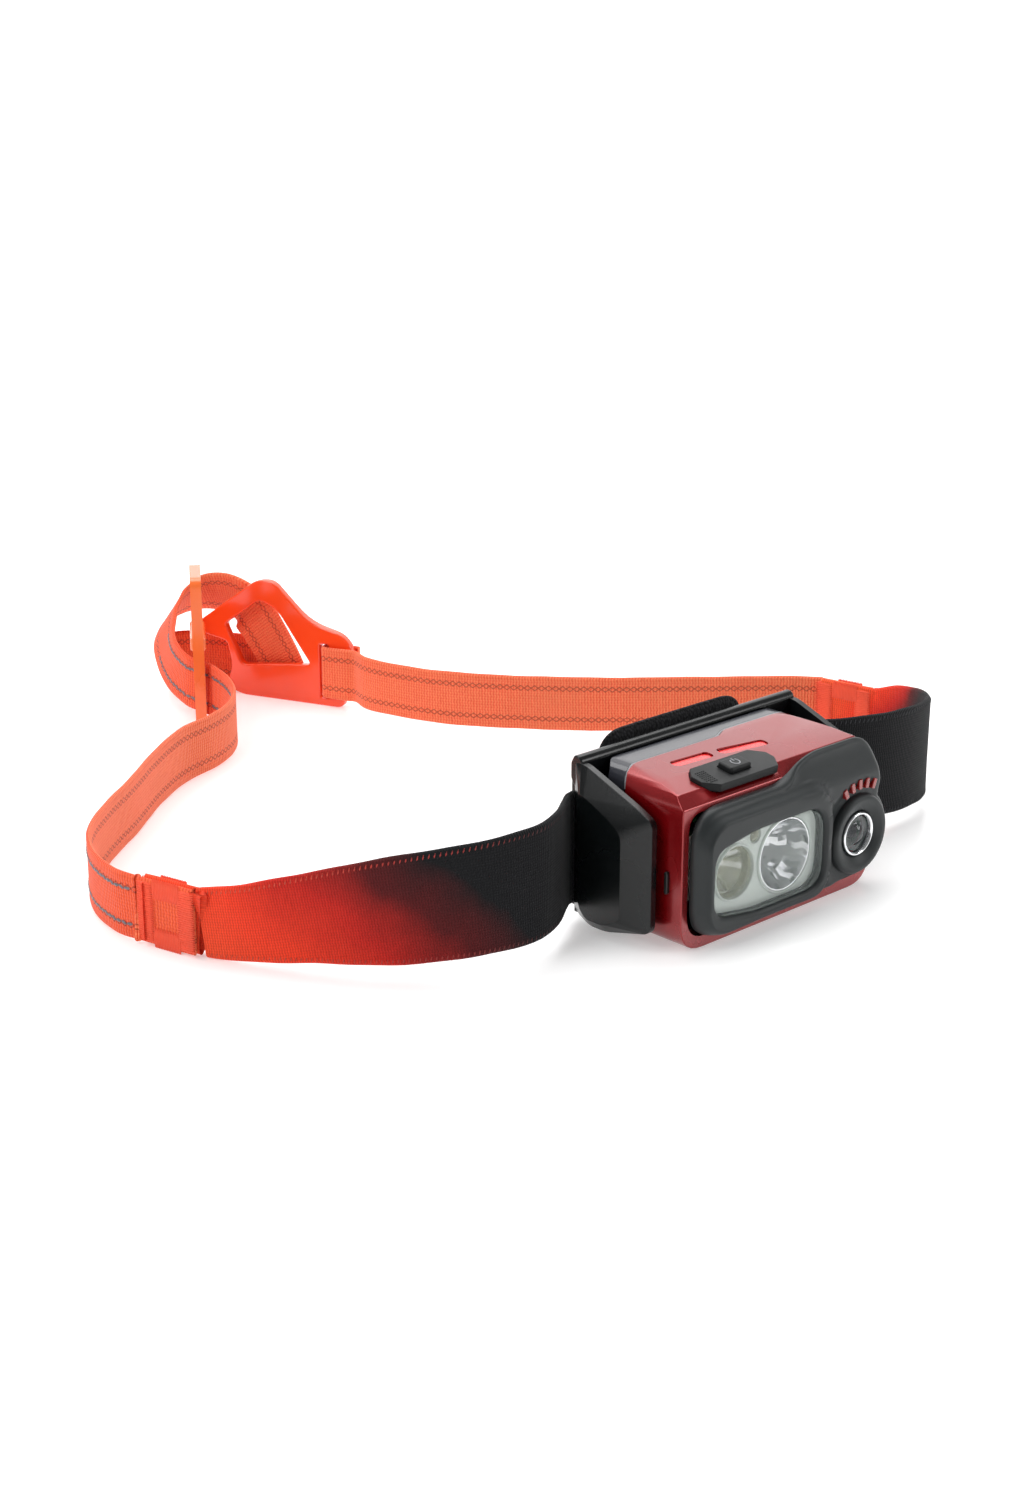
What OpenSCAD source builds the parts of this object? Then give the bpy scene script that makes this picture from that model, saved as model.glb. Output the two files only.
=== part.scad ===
// Headlamp on an adjustable elastic headband, laid on a table.
// Origin: centre of the lamp's flat underside. The lens faces -Y, the loop of the band runs to +Y.

/* [Lamp body] */
// Distance from the origin to the left side of the lamp body
body_left = 33; // [31:0.5:40]
// Distance from the origin to the right side of the lamp body
body_right = 30; // [29.5:0.5:36]
// Height of the lamp body
body_h = 37; // [36:0.5:45]
// Distance from the origin forward to the front of the red shell
shell_front = 15.2; // [15:0.1:17]
// Wall of the red shell
shell_wall = 1.8; // [1.2:0.1:2]
// Slope of the deck under the power button, in degrees
deck_slope = 10; // [6:1:14]

/* [Bezel and optics] */
// Distance from the origin forward to the face of the lens rim
rim_face = 20; // [19.6:0.1:21]
// Width of the lens window
window_w = 35.4; // [33:0.1:36]
// Height of the lens window
window_h = 18.7; // [18:0.1:20]
// Thickness of the clear lens
lens_t = 1.3; // [1:0.1:1.6]
// Radius of the main reflector's mouth
reflector_r = 8.3; // [7.6:0.1:8.5]
// Radius of the flood optic
flood_r = 5.8; // [5:0.1:6]
// Outer radius of the round light-sensor pod
pod_r = 9.6; // [8:0.1:10]

/* [Battery] */
// Gap between the battery and what it slides past
battery_gap = 0.25; // [0.2:0.05:0.4]
// Wall of the battery case
battery_wall = 0.8; // [0.6:0.1:1]
// How far the battery slides up out of the lamp
battery_travel = 34; // [30:1:45]

/* [Bracket and hinge] */
// Thickness of the bracket's back plate
plate_t = 2; // [1.6:0.1:3]
// Thickness of the bracket's side arms
arm_t = 1.6; // [1.2:0.1:2.4]
// Gap between each arm and the lamp body
arm_gap = 1.8; // [1.2:0.1:2.4]
// Radius of the hinge pins
pin_r = 1.5; // [1:0.1:2]
// Radial clearance of the hinge pins in the lamp
pin_clearance = 0.05; // [0.02:0.01:0.1]

/* [Headband] */
// Width of the front band
band_w = 26; // [22:0.5:28]
// Thickness of the front band
band_t = 1.5; // [1:0.1:1.8]
// Width of the rear strap
strap_w = 15; // [13:0.5:17]
// Thickness of the rear strap
strap_t = 1.2; // [0.8:0.1:1.4]

/* [Power button] */
// Travel of the power button
button_travel = 0.8; // [0.4:0.1:1]
// Gap around the button in its pad
button_gap = 0.15; // [0.1:0.05:0.25]

/* [Hidden] */
$fn = 64;
eps = 0.01;
far = 100;          // a length that runs right through the lamp
touch_gap = 0.1;    // gap between parts that seat on each other
soft_gap = 0.3;     // gap between fabric and what it lies on
bend_steps = 6;     // points on each rounded corner

// ---- shared shape helpers ----

function unit(v) = v / norm(v);
function blend_point(a, b, c, t) = (1 - t) * (1 - t) * a + 2 * t * (1 - t) * b + t * t * c;
// One rounded corner at b, cut back by the given length along both sides
function bend(a, b, c, cut) = cut <= 0 ? [b] :
  [for (k = [0:bend_steps])
    blend_point(b + cut * unit(a - b), b, b + cut * unit(c - b), k / bend_steps)];
function flat(p) = [p[0], p[1]];
// Outline from corners [x, y, cut]
function rounded(p) = [for (i = [0:len(p) - 1])
  each bend(flat(p[(i + len(p) - 1) % len(p)]), flat(p[i]), flat(p[(i + 1) % len(p)]), p[i][2])];
function shifted(p, d) = [for (q = p) [q[0], q[1] + d]];
function reversed(p) = [for (i = [len(p) - 1:-1:0]) p[i]];
function box_outline(x0, x1, y0, y1, cut) = rounded([[x0, y0, cut], [x1, y0, cut], [x1, y1, cut], [x0, y1, cut]]);

// Extrudes a front view (x, z) from depth y0 to y1
module front_view(points, y0, y1) {
  translate([0, y1, 0])
    rotate([90, 0, 0])
      linear_extrude(y1 - y0) polygon(points);
}
// Extrudes a side view (y, z) from x0 to x1
module side_view(points, x0, x1) {
  translate([x0, 0, 0])
    rotate([90, 0, 90])
      linear_extrude(x1 - x0) polygon(points);
}
// Extrudes a top view (x, y) from z0 to z1
module top_view(points, z0, z1) {
  translate([0, 0, z0])
    linear_extrude(z1 - z0) polygon(points);
}
// Cylinder along Y
module rod_y(r, x, z, y0, y1) {
  translate([x, y1, z])
    rotate([90, 0, 0])
      cylinder(r = r, h = y1 - y0);
}
// Cylinder along X
module rod_x(r, y, z, x0, x1) {
  translate([x0, y, z])
    rotate([0, 90, 0])
      cylinder(r = r, h = x1 - x0);
}
module block(x0, x1, y0, y1, z0, z1) {
  translate([x0, y0, z0])
    cube([x1 - x0, y1 - y0, z1 - z0]);
}

// ---- lamp layout ----

// Hinge line at the bottom rear of the lamp
barrel_r = 4;
rear_face = 10.5;
hinge_y = rear_face - barrel_r;
hinge_z = barrel_r + 0.2;
// Rear edge of the red deck, seen from above, left to right
seam = [[-body_left - 1, 1.2], [-body_left + 2, 3.2], [-body_left + 5, 4.1], [-2, 4.1], [4, 6.4], [body_right + 1, 6.4]];
deck_front = shell_front - 2.7;
deck_low = body_h - 2.1;
deck_mid_y = -6;
deck_mid = deck_low + (deck_mid_y + deck_front) * tan(deck_slope);
floor_cut = 5;

// Side view of the lamp body, drawn in by d all round except at the rear
function body_side(d) = rounded([
  [-shell_front - (d > 0 ? far : 0), d, d > 0 ? 0 : 3], [-shell_front - (d > 0 ? far : 0), body_h - 4.7 - d, d > 0 ? 0 : 1.2],
  [-deck_front, deck_low - d, 2], [deck_mid_y, deck_mid - d, 3], [4, body_h - d, 2],
  [far, body_h - d, 0], [far, d, 0]]);
// Front view of the lamp body, drawn in by d
function body_front(d) = rounded([
  [-body_left + d, d, 7], [-body_left + d, body_h - d, 6], [body_right - 3 - d, body_h - d, 7],
  [body_right - d, 20, 5], [body_right - d, d, 7]]);
// Top view in front of the seam
function before_seam(gap) = concat([[-far, -far], [-far, seam[0][1] - gap]], shifted(seam, -gap),
  [[far, seam[len(seam) - 1][1] - gap], [far, -far]]);

// ---- power button layout ----
pad_x = -12.5;
pad_y = -10.6;
pad_z = deck_low + (pad_y + deck_front) * tan(deck_slope);
pad_outline = [[-11.8, -1.6], [-8.8, -4.4], [9.5, -4.4], [12, -1], [12, 1.6], [9, 4.4], [-9.3, 4.4], [-11.8, 1.6]];
pad_depth = 1;
pad_rise = 1;
nub_l = 6.6;
nub_w = 4.2;
nub_rise = 2.3;
stem_r = 1.3;
switch_top = 31.4;
board_z = 27.6;
board_t = 1.2;

// Moves to the button's sloping seat on the deck
module on_deck() {
  translate([pad_x, pad_y, pad_z])
    rotate([deck_slope, 0, 0])
      children();
}
module nub_outline(gap) {
  square([nub_l + 2 * gap, nub_w + 2 * gap], center = true);
}

// ---- lens and optics layout ----
window_x0 = -27.3;
window_x1 = window_x0 + window_w;
window_z0 = 6;
window_z1 = window_z0 + window_h;
// Front view of the lens window, grown by g
function window_outline(g) = rounded([
  [window_x0 - g, window_z0 + 2 - g, 4], [window_x1 - 22 - g, window_z0 - g, 3], [window_x1 + g, window_z0 - g, 6],
  [window_x1 + g, window_z1 + g, 6], [window_x1 - 22 - g, window_z1 + g, 3], [window_x0 - g, window_z1 - 2 + g, 4]]);
rim_step = 2;                                  // lens rim stands this far off the bezel face
bezel_face = rim_face - rim_step;
lens_face = rim_face - 0.5;
lens_back = lens_face - lens_t;
flange_t = 0.8;
flange_w = 1;
carrier_face = lens_back - flange_t - 0.3;
carrier_t = 1.2;
led_board_face = 8.6;
led_board_t = 1.2;
main_x = -2.5;
main_z = 15.5;
flood_x = -18.8;
flood_z = 15.6;
red_x = -12.4;
red_z = 22.4;
red_r = 1.6;

// ---- sensor pod layout ----
pod_x = 22.6;
pod_edge_x = 24.3;   // middle of the pod's outer edge, which is not on the sensor's line
pod_z = 13.7;
pod_face = 18.8;
pod_bore_r = 5.8;
ring_r = 5.1;
ring_t = 0.8;
sensor_dome_r = 2.7;
gauge_r = 11.9;
gauge_count = 5;
gauge_step = 12;
gauge_start = 68;
gauge_w = 1.3;
gauge_h = 2.4;

// ---- bezel ----
bezel_back = shell_front + touch_gap;
bezel_top = 31.6;
function bezel_outline(d) = rounded([
  [-body_left + 2.3 + d, 2.5 + d, 8], [body_right + 0.8 - d, 3.5 + d, 7], [body_right + 0.8 - d, 26, 4],
  [body_right - 3.5 - d, body_h - 0.8 - d, 6], [4, body_h - 0.8 - d, 3], [-2, bezel_top - d, 3],
  [-body_left + 2.3 + d, bezel_top - d, 8]]);
bezel_wall = 1.6;
// Front view of the hollow behind the lens rim, drawn in by d
function hollow_outline(d) =
  box_outline(-body_left + 4.1 + d, window_x1 + 2.6 - d, 4.2 + d, bezel_top - 1.8 - d, 6);
rim_outline = box_outline(-body_left + 2.8, window_x1 + 3.2, 3, bezel_top - 0.5, 9);

module gauge_set(gap, y0, y1) {
  for (i = [0:gauge_count - 1]) {
    turn = gauge_start + i * gauge_step;
    translate([pod_x + gauge_r * cos(turn), 0, pod_z + gauge_r * sin(turn)])
      rotate([0, 90 - turn, 0])
        block(-gauge_w / 2 - gap, gauge_w / 2 + gap, y0, y1, -gauge_h / 2 - gap, gauge_h / 2 + gap);
  }
}

module bezel() {
  color([0.2, 0.21, 0.22])
    difference() {
      union() {
        front_view(bezel_outline(0), -bezel_face, -bezel_back);
        front_view(rim_outline, -rim_face, -bezel_face + eps);
        rod_y(pod_r, pod_edge_x, pod_z, -pod_face, -bezel_back);
      }
      front_view(window_outline(0), -far, 0);
      front_view(window_outline(flange_w + touch_gap), -lens_back - touch_gap / 2, 0);
      front_view(hollow_outline(0), -bezel_face + bezel_wall, 0);
      rod_y(pod_bore_r, pod_x, pod_z, -far, 0);
      gauge_set(touch_gap, -far, 0);
    }
}
module bezel_gasket() {
  gasket_w = 1;
  color("black")
    difference() {
      front_view(hollow_outline(touch_gap), -carrier_face + carrier_t + touch_gap, -bezel_back);
      front_view(hollow_outline(gasket_w), -far, far);
    }
}

// ---- red shell ----
nib_y = -11.2;
nib_z = 13;
slot_outline_w = 3;
screw_xs = [-body_left + shell_wall + 2, body_right - shell_wall - 4.2];
post_xs = [-21, 3];
post_r = 1.2;
screw_zs = [11.5, 30];
screw_r = 1;
screw_head_r = 1.6;
screw_head_t = 1.1;
screw_l = 6;
boss_r = 2.4;
chassis_wall = 1.8;
function seam_y(x) = lookup(x, seam);
function wall_back(x) = seam_y(x) - battery_gap;
port_y = -11.8;
port_z = 16;
port_w = 2.7;
port_h = 7.6;
port_depth = 6.5;

// Recess with round ends in the deck
module deck_slot(x, y, length, turn) {
  deck_z = y < 4 ? deck_mid + (y - deck_mid_y) * (body_h - deck_mid) / (4 - deck_mid_y) : body_h;
  translate([x, y, deck_z - 0.9])
    rotate([0, 0, turn])
      hull()
        for (end = [-1, 1])
          translate([end * (length - slot_outline_w) / 2, 0, 0])
            cylinder(d = slot_outline_w, h = 3, $fn = 32);
}
module housing() {
  color([0.6, 0.04, 0.05])
    difference() {
      union() {
        intersection() {
          front_view(body_front(0), -shell_front, far);
          side_view(body_side(0), -far, far);
          top_view(before_seam(battery_gap), -1, far);
          difference() {
            block(-far, far, -far, far, -1, far);
            difference() {
              front_view(body_front(shell_wall), -far, far);
              block(-far, far, -far, far, -1, shell_wall);
            }
            // clear of the hinge barrel
            block(-far, far, hinge_y - barrel_r - 0.6, far, -1, hinge_z + barrel_r + 0.4);
          }
        }
        front_shell();
        // small nib that stops the arm's front edge
        block(-body_left - 0.8, -body_left + 1, nib_y - 0.6, nib_y + 0.6, nib_z, nib_z + 5);
        // screw bosses with a web to the side wall, and posts that carry the circuit board
        intersection() {
          for (x = screw_xs, z = screw_zs) {
            rod_y(boss_r, x, z, wall_back(x) - chassis_wall - screw_l - 1, wall_back(x));
            block(x < 0 ? -far : x, x < 0 ? x : far, wall_back(x) - chassis_wall - screw_l - 1, 0, z - 0.8, z + 0.8);
          }
          front_view(body_front(0.5), -far, far);
          top_view(before_seam(battery_gap + chassis_wall + touch_gap), -1, far);
        }
        for (x = post_xs)
          translate([x, -3, board_z + board_t])
            cylinder(r = post_r, h = deck_mid - shell_wall + 0.5 - board_z - board_t);
      }
      on_deck() {
        translate([0, 0, -pad_depth])
          linear_extrude(10) offset_outline(pad_outline, touch_gap);
        translate([0, 0, -10])
          cylinder(r = stem_r + button_gap, h = 20);
      }
      deck_slot(-15.8, -1.6, 11.5, -3);
      deck_slot(-1.2, -3.2, 13.5, -9);
      for (x = screw_xs, z = screw_zs)
        rod_y(screw_r - 0.1, x, z, wall_back(x) - chassis_wall - screw_l, far);
      block(body_right - 4, far, port_y - port_w / 2 - touch_gap, port_y + port_w / 2 + touch_gap,
        port_z - port_h / 2 - touch_gap, port_z + port_h / 2 + touch_gap);
    }
}
// Sloping front of the deck, which closes the shell above the bezel
module front_shell() {
  intersection() {
    front_view(body_front(0), -shell_front, 4);
    difference() {
      side_view(body_side(0), -far, far);
      side_view(body_side(shell_wall), -far, far);
    }
    block(-far, far, -far, 4 - 1, -1, far);
  }
}
// Outline grown by a gap, by scaling about its centre
module offset_outline(points, gap) {
  half = 12;
  scale([1 + gap / half, 1 + gap / (half / 3)])
    polygon(points);
}

// ---- chassis: inner frame with the hinge bores and the battery guides ----
ear_t = 1.6;
ear_top = 30;
rib = 0.9;
shelf_z = hinge_z + barrel_r;
bore_depth = 5;
chassis_top = body_h - shell_wall - 0.3;
module ear(x, side) {
  block(min(x, x - side * ear_t), max(x, x - side * ear_t), seam_y(x - side * ear_t) + touch_gap, rear_face - 1,
    hinge_z, ear_top);
  rail_y = (seam_y(x) + rear_face) / 2 + 1;
  inner = x - side * ear_t;
  block(min(inner, inner - side * rib), max(inner, inner - side * rib), rail_y - rib / 2, rail_y + rib / 2,
    shelf_z - 1, ear_top);
}
module chassis() {
  color([0.09, 0.1, 0.1])
    difference() {
      union() {
        rod_x(barrel_r, hinge_y, hinge_z, -body_left, body_right);
        block(-body_left, body_right, hinge_y - barrel_r + 0.2, hinge_y, hinge_z, shelf_z);
        block(-body_left, body_right, hinge_y - 1, rear_face - 0.6, hinge_z, shelf_z);
        ear(-body_left, -1);
        ear(body_right, 1);
        intersection() {
          top_view(concat(shifted(seam, -battery_gap), reversed(shifted(seam, -battery_gap - chassis_wall))),
            shelf_z - 2, far);
          front_view(body_front(shell_wall + touch_gap), -far, far);
          block(-far, far, -far, far, 0, chassis_top);
        }
      }
      for (x = [-body_left - eps, body_right - bore_depth + eps])
        rod_x(pin_r + pin_clearance, hinge_y, hinge_z, x, x + bore_depth);
      for (x = screw_xs, z = screw_zs) {
        rod_y(screw_r, x, z, -far, far);
        rod_y(screw_head_r + touch_gap, x, z, wall_back(x) - screw_head_t, far);
      }
      for (i = [-1:1])
        translate([contact_x + i * contact_pitch, contact_y, shelf_z - 2])
          cylinder(r = contact_r, h = 4);
    }
}
module chassis_screws() {
  color("silver")
    for (x = screw_xs, z = screw_zs) {
      rod_y(screw_r - 0.1, x, z, wall_back(x) - chassis_wall - screw_l + 0.5, wall_back(x) - screw_head_t + eps);
      rod_y(screw_head_r, x, z, wall_back(x) - screw_head_t, wall_back(x) - touch_gap);
    }
}
contact_x = -12;
contact_y = 7.4;
contact_pitch = 4;
contact_r = 0.8;
module contact_pins() {
  color("gold")
    for (i = [-1:1])
      translate([contact_x + i * contact_pitch, contact_y, shelf_z - 2])
        cylinder(r = contact_r, h = 2 + touch_gap);
}

// ---- optics ----
module lens() {
  color([0.85, 0.9, 0.92, 0.4]) {
    front_view(window_outline(-touch_gap), -lens_face, -lens_back + eps);
    front_view(window_outline(flange_w), -lens_back, -lens_back + flange_t);
  }
}
module lens_seal() {
  color("black")
    difference() {
      front_view(window_outline(flange_w - 0.1), -lens_back + flange_t, -carrier_face);
      front_view(window_outline(-0.1), -far, far);
    }
}
module optic_carrier() {
  color([0.75, 0.78, 0.76])
    difference() {
      front_view(window_outline(flange_w - 0.1), -carrier_face, -carrier_face + carrier_t);
      rod_y(reflector_r + touch_gap, main_x, main_z, -far, far);
      rod_y(flood_r + touch_gap, flood_x, flood_z, -far, far);
      rod_y(red_r + touch_gap, red_x, red_z, -far, far);
    }
}
reflector_depth = carrier_face - led_board_face - touch_gap;
reflector_base_r = 3.4;
reflector_wall = 0.7;
module main_reflector() {
  color("gainsboro")
    translate([main_x, -carrier_face, main_z])
      rotate([-90, 0, 0])
        rotate_extrude()
          polygon([
            [reflector_r - reflector_wall, 0], [reflector_r, 0], [reflector_r - 0.6, 3],
            [reflector_base_r + 2, reflector_depth - 1.5], [reflector_base_r, reflector_depth],
            [reflector_base_r - reflector_wall, reflector_depth],
            [reflector_base_r + 1.2, reflector_depth - 2], [reflector_r - 1.5, 3]]);
}
// LED package with a domed lens, standing on the board
module led(x, z, base, r) {
  block(x - base / 2, x + base / 2, -led_board_face - 0.7, -led_board_face, z - base / 2, z + base / 2);
  intersection() {
    translate([x, -led_board_face - 0.7, z])
      sphere(r = r, $fn = 32);
    block(x - base, x + base, -led_board_face - base, -led_board_face - 0.7 + eps, z - base, z + base);
  }
}
module main_led() {
  color([0.95, 0.9, 0.6])
    led(main_x, main_z, 3.4, 1.6);
}
module flood_led() {
  color([0.95, 0.9, 0.5])
    led(flood_x, flood_z, 2.8, 1.2);
}
module flood_optic() {
  depth = carrier_face - led_board_face - touch_gap;
  color([0.9, 0.9, 0.8, 0.5])
    translate([flood_x, -carrier_face, flood_z])
      rotate([-90, 0, 0])
        rotate_extrude()
          polygon([[0, 0], [flood_r, 0], [flood_r, 1.5], [3.2, depth], [2.4, depth], [2.1, depth - 2.6], [0, depth - 2.6]]);
}
module red_led() {
  color([0.85, 0.75, 0.72])
    union() {
      rod_y(red_r, red_x, red_z, -carrier_face + 0.9, -led_board_face - touch_gap);
      intersection() {
        translate([red_x, -carrier_face + 0.9, red_z])
          sphere(r = red_r, $fn = 32);
        block(red_x - 3, red_x + 3, -carrier_face, -carrier_face + 0.9 + eps, red_z - 3, red_z + 3);
      }
    }
}
module led_board() {
  color([0.85, 0.87, 0.85])
    front_view(window_outline(-0.4), -led_board_face, -led_board_face + led_board_t);
}
module heat_sink() {
  fins = 6;
  base_y = -led_board_face + led_board_t + touch_gap;
  color("silver") {
    block(window_x0 + 3, window_x1 - 3, base_y, base_y + 1.5, window_z0 + 2, window_z1 - 2);
    for (i = [0:fins - 1])
      translate([window_x0 + 5 + i * 5, base_y + 1.5 - eps, window_z0 + 2])
        cube([1.2, 3, window_h - 4]);
  }
}
module circuit_board() {
  color([0.1, 0.35, 0.2])
    block(screw_xs[0] + boss_r + touch_gap, 7, -shell_front + 2.4, 1, board_z, board_z + board_t);
}
module tact_switch() {
  switch_w = 4.4;
  switch_y = pad_y + (pad_z - switch_top) * tan(deck_slope);
  color([0.15, 0.15, 0.15]) {
    block(pad_x - switch_w / 2, pad_x + switch_w / 2, -shell_front + 2.5, -shell_front + 2.5 + switch_w,
      board_z + board_t, switch_top - 0.8);
    translate([pad_x, switch_y - 0.2, switch_top - 0.8 - eps])
      cylinder(r = 1.1, h = 0.8 - button_travel + 0.4);
  }
}

// ---- sensor pod ----
sensor_board_y = -shell_front;
sensor_board_r = 3.8;
module sensor_ring() {
  color("silver")
    difference() {
      rod_y(ring_r, pod_x, pod_z, -pod_face + 0.9, sensor_board_y - touch_gap);
      rod_y(ring_r - ring_t, pod_x, pod_z, -far, far);
    }
}
module sensor_lens() {
  color([0.3, 0.32, 0.33, 0.6])
    union() {
      rod_y(ring_r - ring_t - touch_gap, pod_x, pod_z, -pod_face + 1.6, -pod_face + 2.3);
      intersection() {
        translate([pod_x, -pod_face + 1.6, pod_z])
          sphere(r = sensor_dome_r, $fn = 32);
        block(pod_x - 5, pod_x + 5, -pod_face + 0.4, -pod_face + 1.6 + eps, pod_z - 5, pod_z + 5);
      }
    }
}
module light_sensor() {
  color("black")
    block(pod_x - 1.3, pod_x + 1.3, sensor_board_y - 0.9, sensor_board_y, pod_z - 1.3, pod_z + 1.3);
}
module sensor_board() {
  color([0.1, 0.35, 0.2])
    rod_y(sensor_board_r, pod_x, pod_z, sensor_board_y, sensor_board_y + 0.8);
}
module gauge_bars() {
  color([0.8, 0.1, 0.08])
    gauge_set(0, -bezel_face - 0.4, -bezel_back - 0.3);
}

// ---- charging port and its rubber cover ----
cover_t = 1;
cover_w = port_w + 1.2;
cover_lip = 1.6;
cover_axis_x = body_right + touch_gap + cover_t / 2;
cover_axis_z = port_z - port_h / 2 - cover_lip;
module usb_port() {
  wall = 0.4;
  color("silver")
    difference() {
      block(body_right - port_depth, body_right - 1.2, port_y - port_w / 2, port_y + port_w / 2,
        port_z - port_h / 2, port_z + port_h / 2);
      block(body_right - port_depth + wall, far, port_y - port_w / 2 + wall, port_y + port_w / 2 - wall,
        port_z - port_h / 2 + wall, port_z + port_h / 2 - wall);
    }
}
module port_cover() {
  color([0.08, 0.08, 0.09]) {
    block(body_right + touch_gap, body_right + touch_gap + cover_t, port_y - cover_w / 2, port_y + cover_w / 2,
      cover_axis_z, port_z + port_h / 2 + cover_lip);
    translate([cover_axis_x, port_y - cover_w / 2, cover_axis_z])
      rotate([-90, 0, 0])
        cylinder(d = cover_t, h = cover_w);
  }
}

// ---- power button ----
module button_pad() {
  color([0.12, 0.13, 0.13])
    on_deck()
      difference() {
        translate([0, 0, -pad_depth + touch_gap])
          linear_extrude(pad_depth + pad_rise) polygon(pad_outline);
        translate([0, 0, -far / 2])
          linear_extrude(far) nub_outline(button_gap);
      }
}
module power_button() {
  stem_l = (pad_z - switch_top) / cos(deck_slope) - button_travel;
  color([0.15, 0.16, 0.16])
    on_deck() {
      difference() {
        translate([0, 0, -pad_depth + touch_gap + button_travel + 0.1])
          linear_extrude(pad_depth + nub_rise - button_travel) nub_outline(0);
        translate([0, 0, nub_rise - 0.1])
          cylinder(r = 0.9, h = 2);
      }
      translate([0, 0, -stem_l])
        cylinder(r = stem_r, h = stem_l + 0.5);
    }
}

// ---- battery ----
bead_w = 0.6;
battery_back = rear_face;
battery_x0 = -body_left + ear_t + battery_gap;
battery_x1 = body_right - ear_t - battery_gap;
battery_base = shelf_z + battery_gap;
battery_top = body_h - 0.2;
cap_z = ear_top + 1;
inner_seam = [for (p = seam) if (p[0] > battery_x0 && p[0] < battery_x1) p];
function battery_plan(d) = concat(
  [[battery_x0 + d, seam_y(battery_x0 + d) + bead_w + d]],
  shifted(inner_seam, bead_w + d),
  [[battery_x1 - d, seam_y(battery_x1 - d) + bead_w + d], [battery_x1 - d, battery_back - 1.6 - d / 2],
   [battery_x1 - 6 - d, battery_back - d], [battery_x0 + 3 + d, battery_back - d], [battery_x0 + d, battery_back - 2 - d / 2]]);
// Grooves that run on the chassis ribs
module battery_grooves() {
  for (side = [-1, 1]) {
    x = side < 0 ? -body_left : body_right;
    face = side < 0 ? battery_x0 : battery_x1;
    rail_y = (seam_y(x) + rear_face) / 2 + 1;
    block(min(face, face - side * (rib + 0.1)) - eps, max(face, face - side * (rib + 0.1)) + eps,
      rail_y - rib / 2 - battery_gap, rail_y + rib / 2 + battery_gap, -1, ear_top + battery_gap);
  }
}
module battery_case() {
  color([0.13, 0.13, 0.14])
    difference() {
      top_view(battery_plan(0), battery_base, cap_z);
      intersection() {
        top_view(battery_plan(battery_wall), battery_base + 1.2, far);
        block(battery_x0 + rib + battery_wall + 0.2, battery_x1 - rib - battery_wall - 0.2, -far, far, 0, far);
      }
      battery_grooves();
      for (i = [-1:1])
        block(contact_x + i * contact_pitch - 1.4, contact_x + i * contact_pitch + 1.4, contact_y - 1.2, contact_y + 1.2,
          0, battery_base + 0.4);
    }
}
module battery_cap() {
  color([0.2, 0.2, 0.22])
    intersection() {
      top_view(battery_plan(0), cap_z + touch_gap, battery_top);
      front_view(body_front(0.2), -far, far);
    }
}
module battery_bead() {
  color([0.6, 0.6, 0.62])
    intersection() {
      top_view(concat(shifted(seam, bead_w - touch_gap / 2), reversed(shifted(seam, touch_gap / 2))), cap_z + 1, battery_top);
      front_view(body_front(0.2), -far, far);
      block(battery_x0, battery_x1, -far, far, 0, far);
    }
}
cell_x0 = battery_x0 + 4;
cell_l = 24;
module battery_cell() {
  front = 4.1 + bead_w + battery_wall + 0.1;
  color("silver")
    block(cell_x0, cell_x0 + cell_l, front, battery_back - battery_wall - 0.1,
      battery_base + 3, cap_z - 0.6);
}
module battery_board() {
  color([0.1, 0.35, 0.2])
    block(6, 22, 6.4 + bead_w + battery_wall + 0.1, 6.4 + bead_w + battery_wall + 0.9, battery_base + 3, cap_z - 2);
}
module battery_contacts() {
  color("gold")
    for (i = [-1:1])
      block(contact_x + i * contact_pitch - 1.3, contact_x + i * contact_pitch + 1.3, contact_y - 1.1, contact_y + 1.1,
        battery_base, battery_base + 0.4);
}

// ---- bracket ----
plate_y = rear_face + 0.7;
plate_back = plate_y + plate_t;
arm_left = -body_left - arm_gap;
arm_right = body_right + arm_gap;
arm_front = 9.6;
arm_top = 31;
keeper_w = 3;
keeper_t = 1.5;
band_gap = 0.35;
band_base = 4;
keeper_y = plate_back + band_t + 2 * band_gap;
top_bar_z = band_base + band_w + 2;
top_bar_h = body_h + 1.4;
arm_outline = rounded([
  [-arm_front, 4, 2], [-arm_front, arm_top - 2, 1.5], [-arm_front + 4, arm_top, 2], [plate_y - 1, body_h, 1.5],
  [plate_back, body_h, 1], [plate_back, hinge_z - 1, 2], [hinge_y + 2, 0.6, 1.5], [hinge_y - 3, 0.6, 2]]);
// Outer face of each arm, inside the sloping border
arm_swell = 2.2;
arm_panel = rounded([
  [-arm_front + 7, 5.5, 1.5], [-arm_front + 7, arm_top - 6, 2], [-arm_front + 10.5, arm_top - 3.6, 2], [plate_y - 2.4, arm_top, 0.4],
  [plate_y - 1.4, arm_top, 0.4], [plate_y - 1.4, hinge_z + 1, 1.5], [hinge_y + 1, 3, 1], [hinge_y - 4, 3, 1.5]]);
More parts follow.
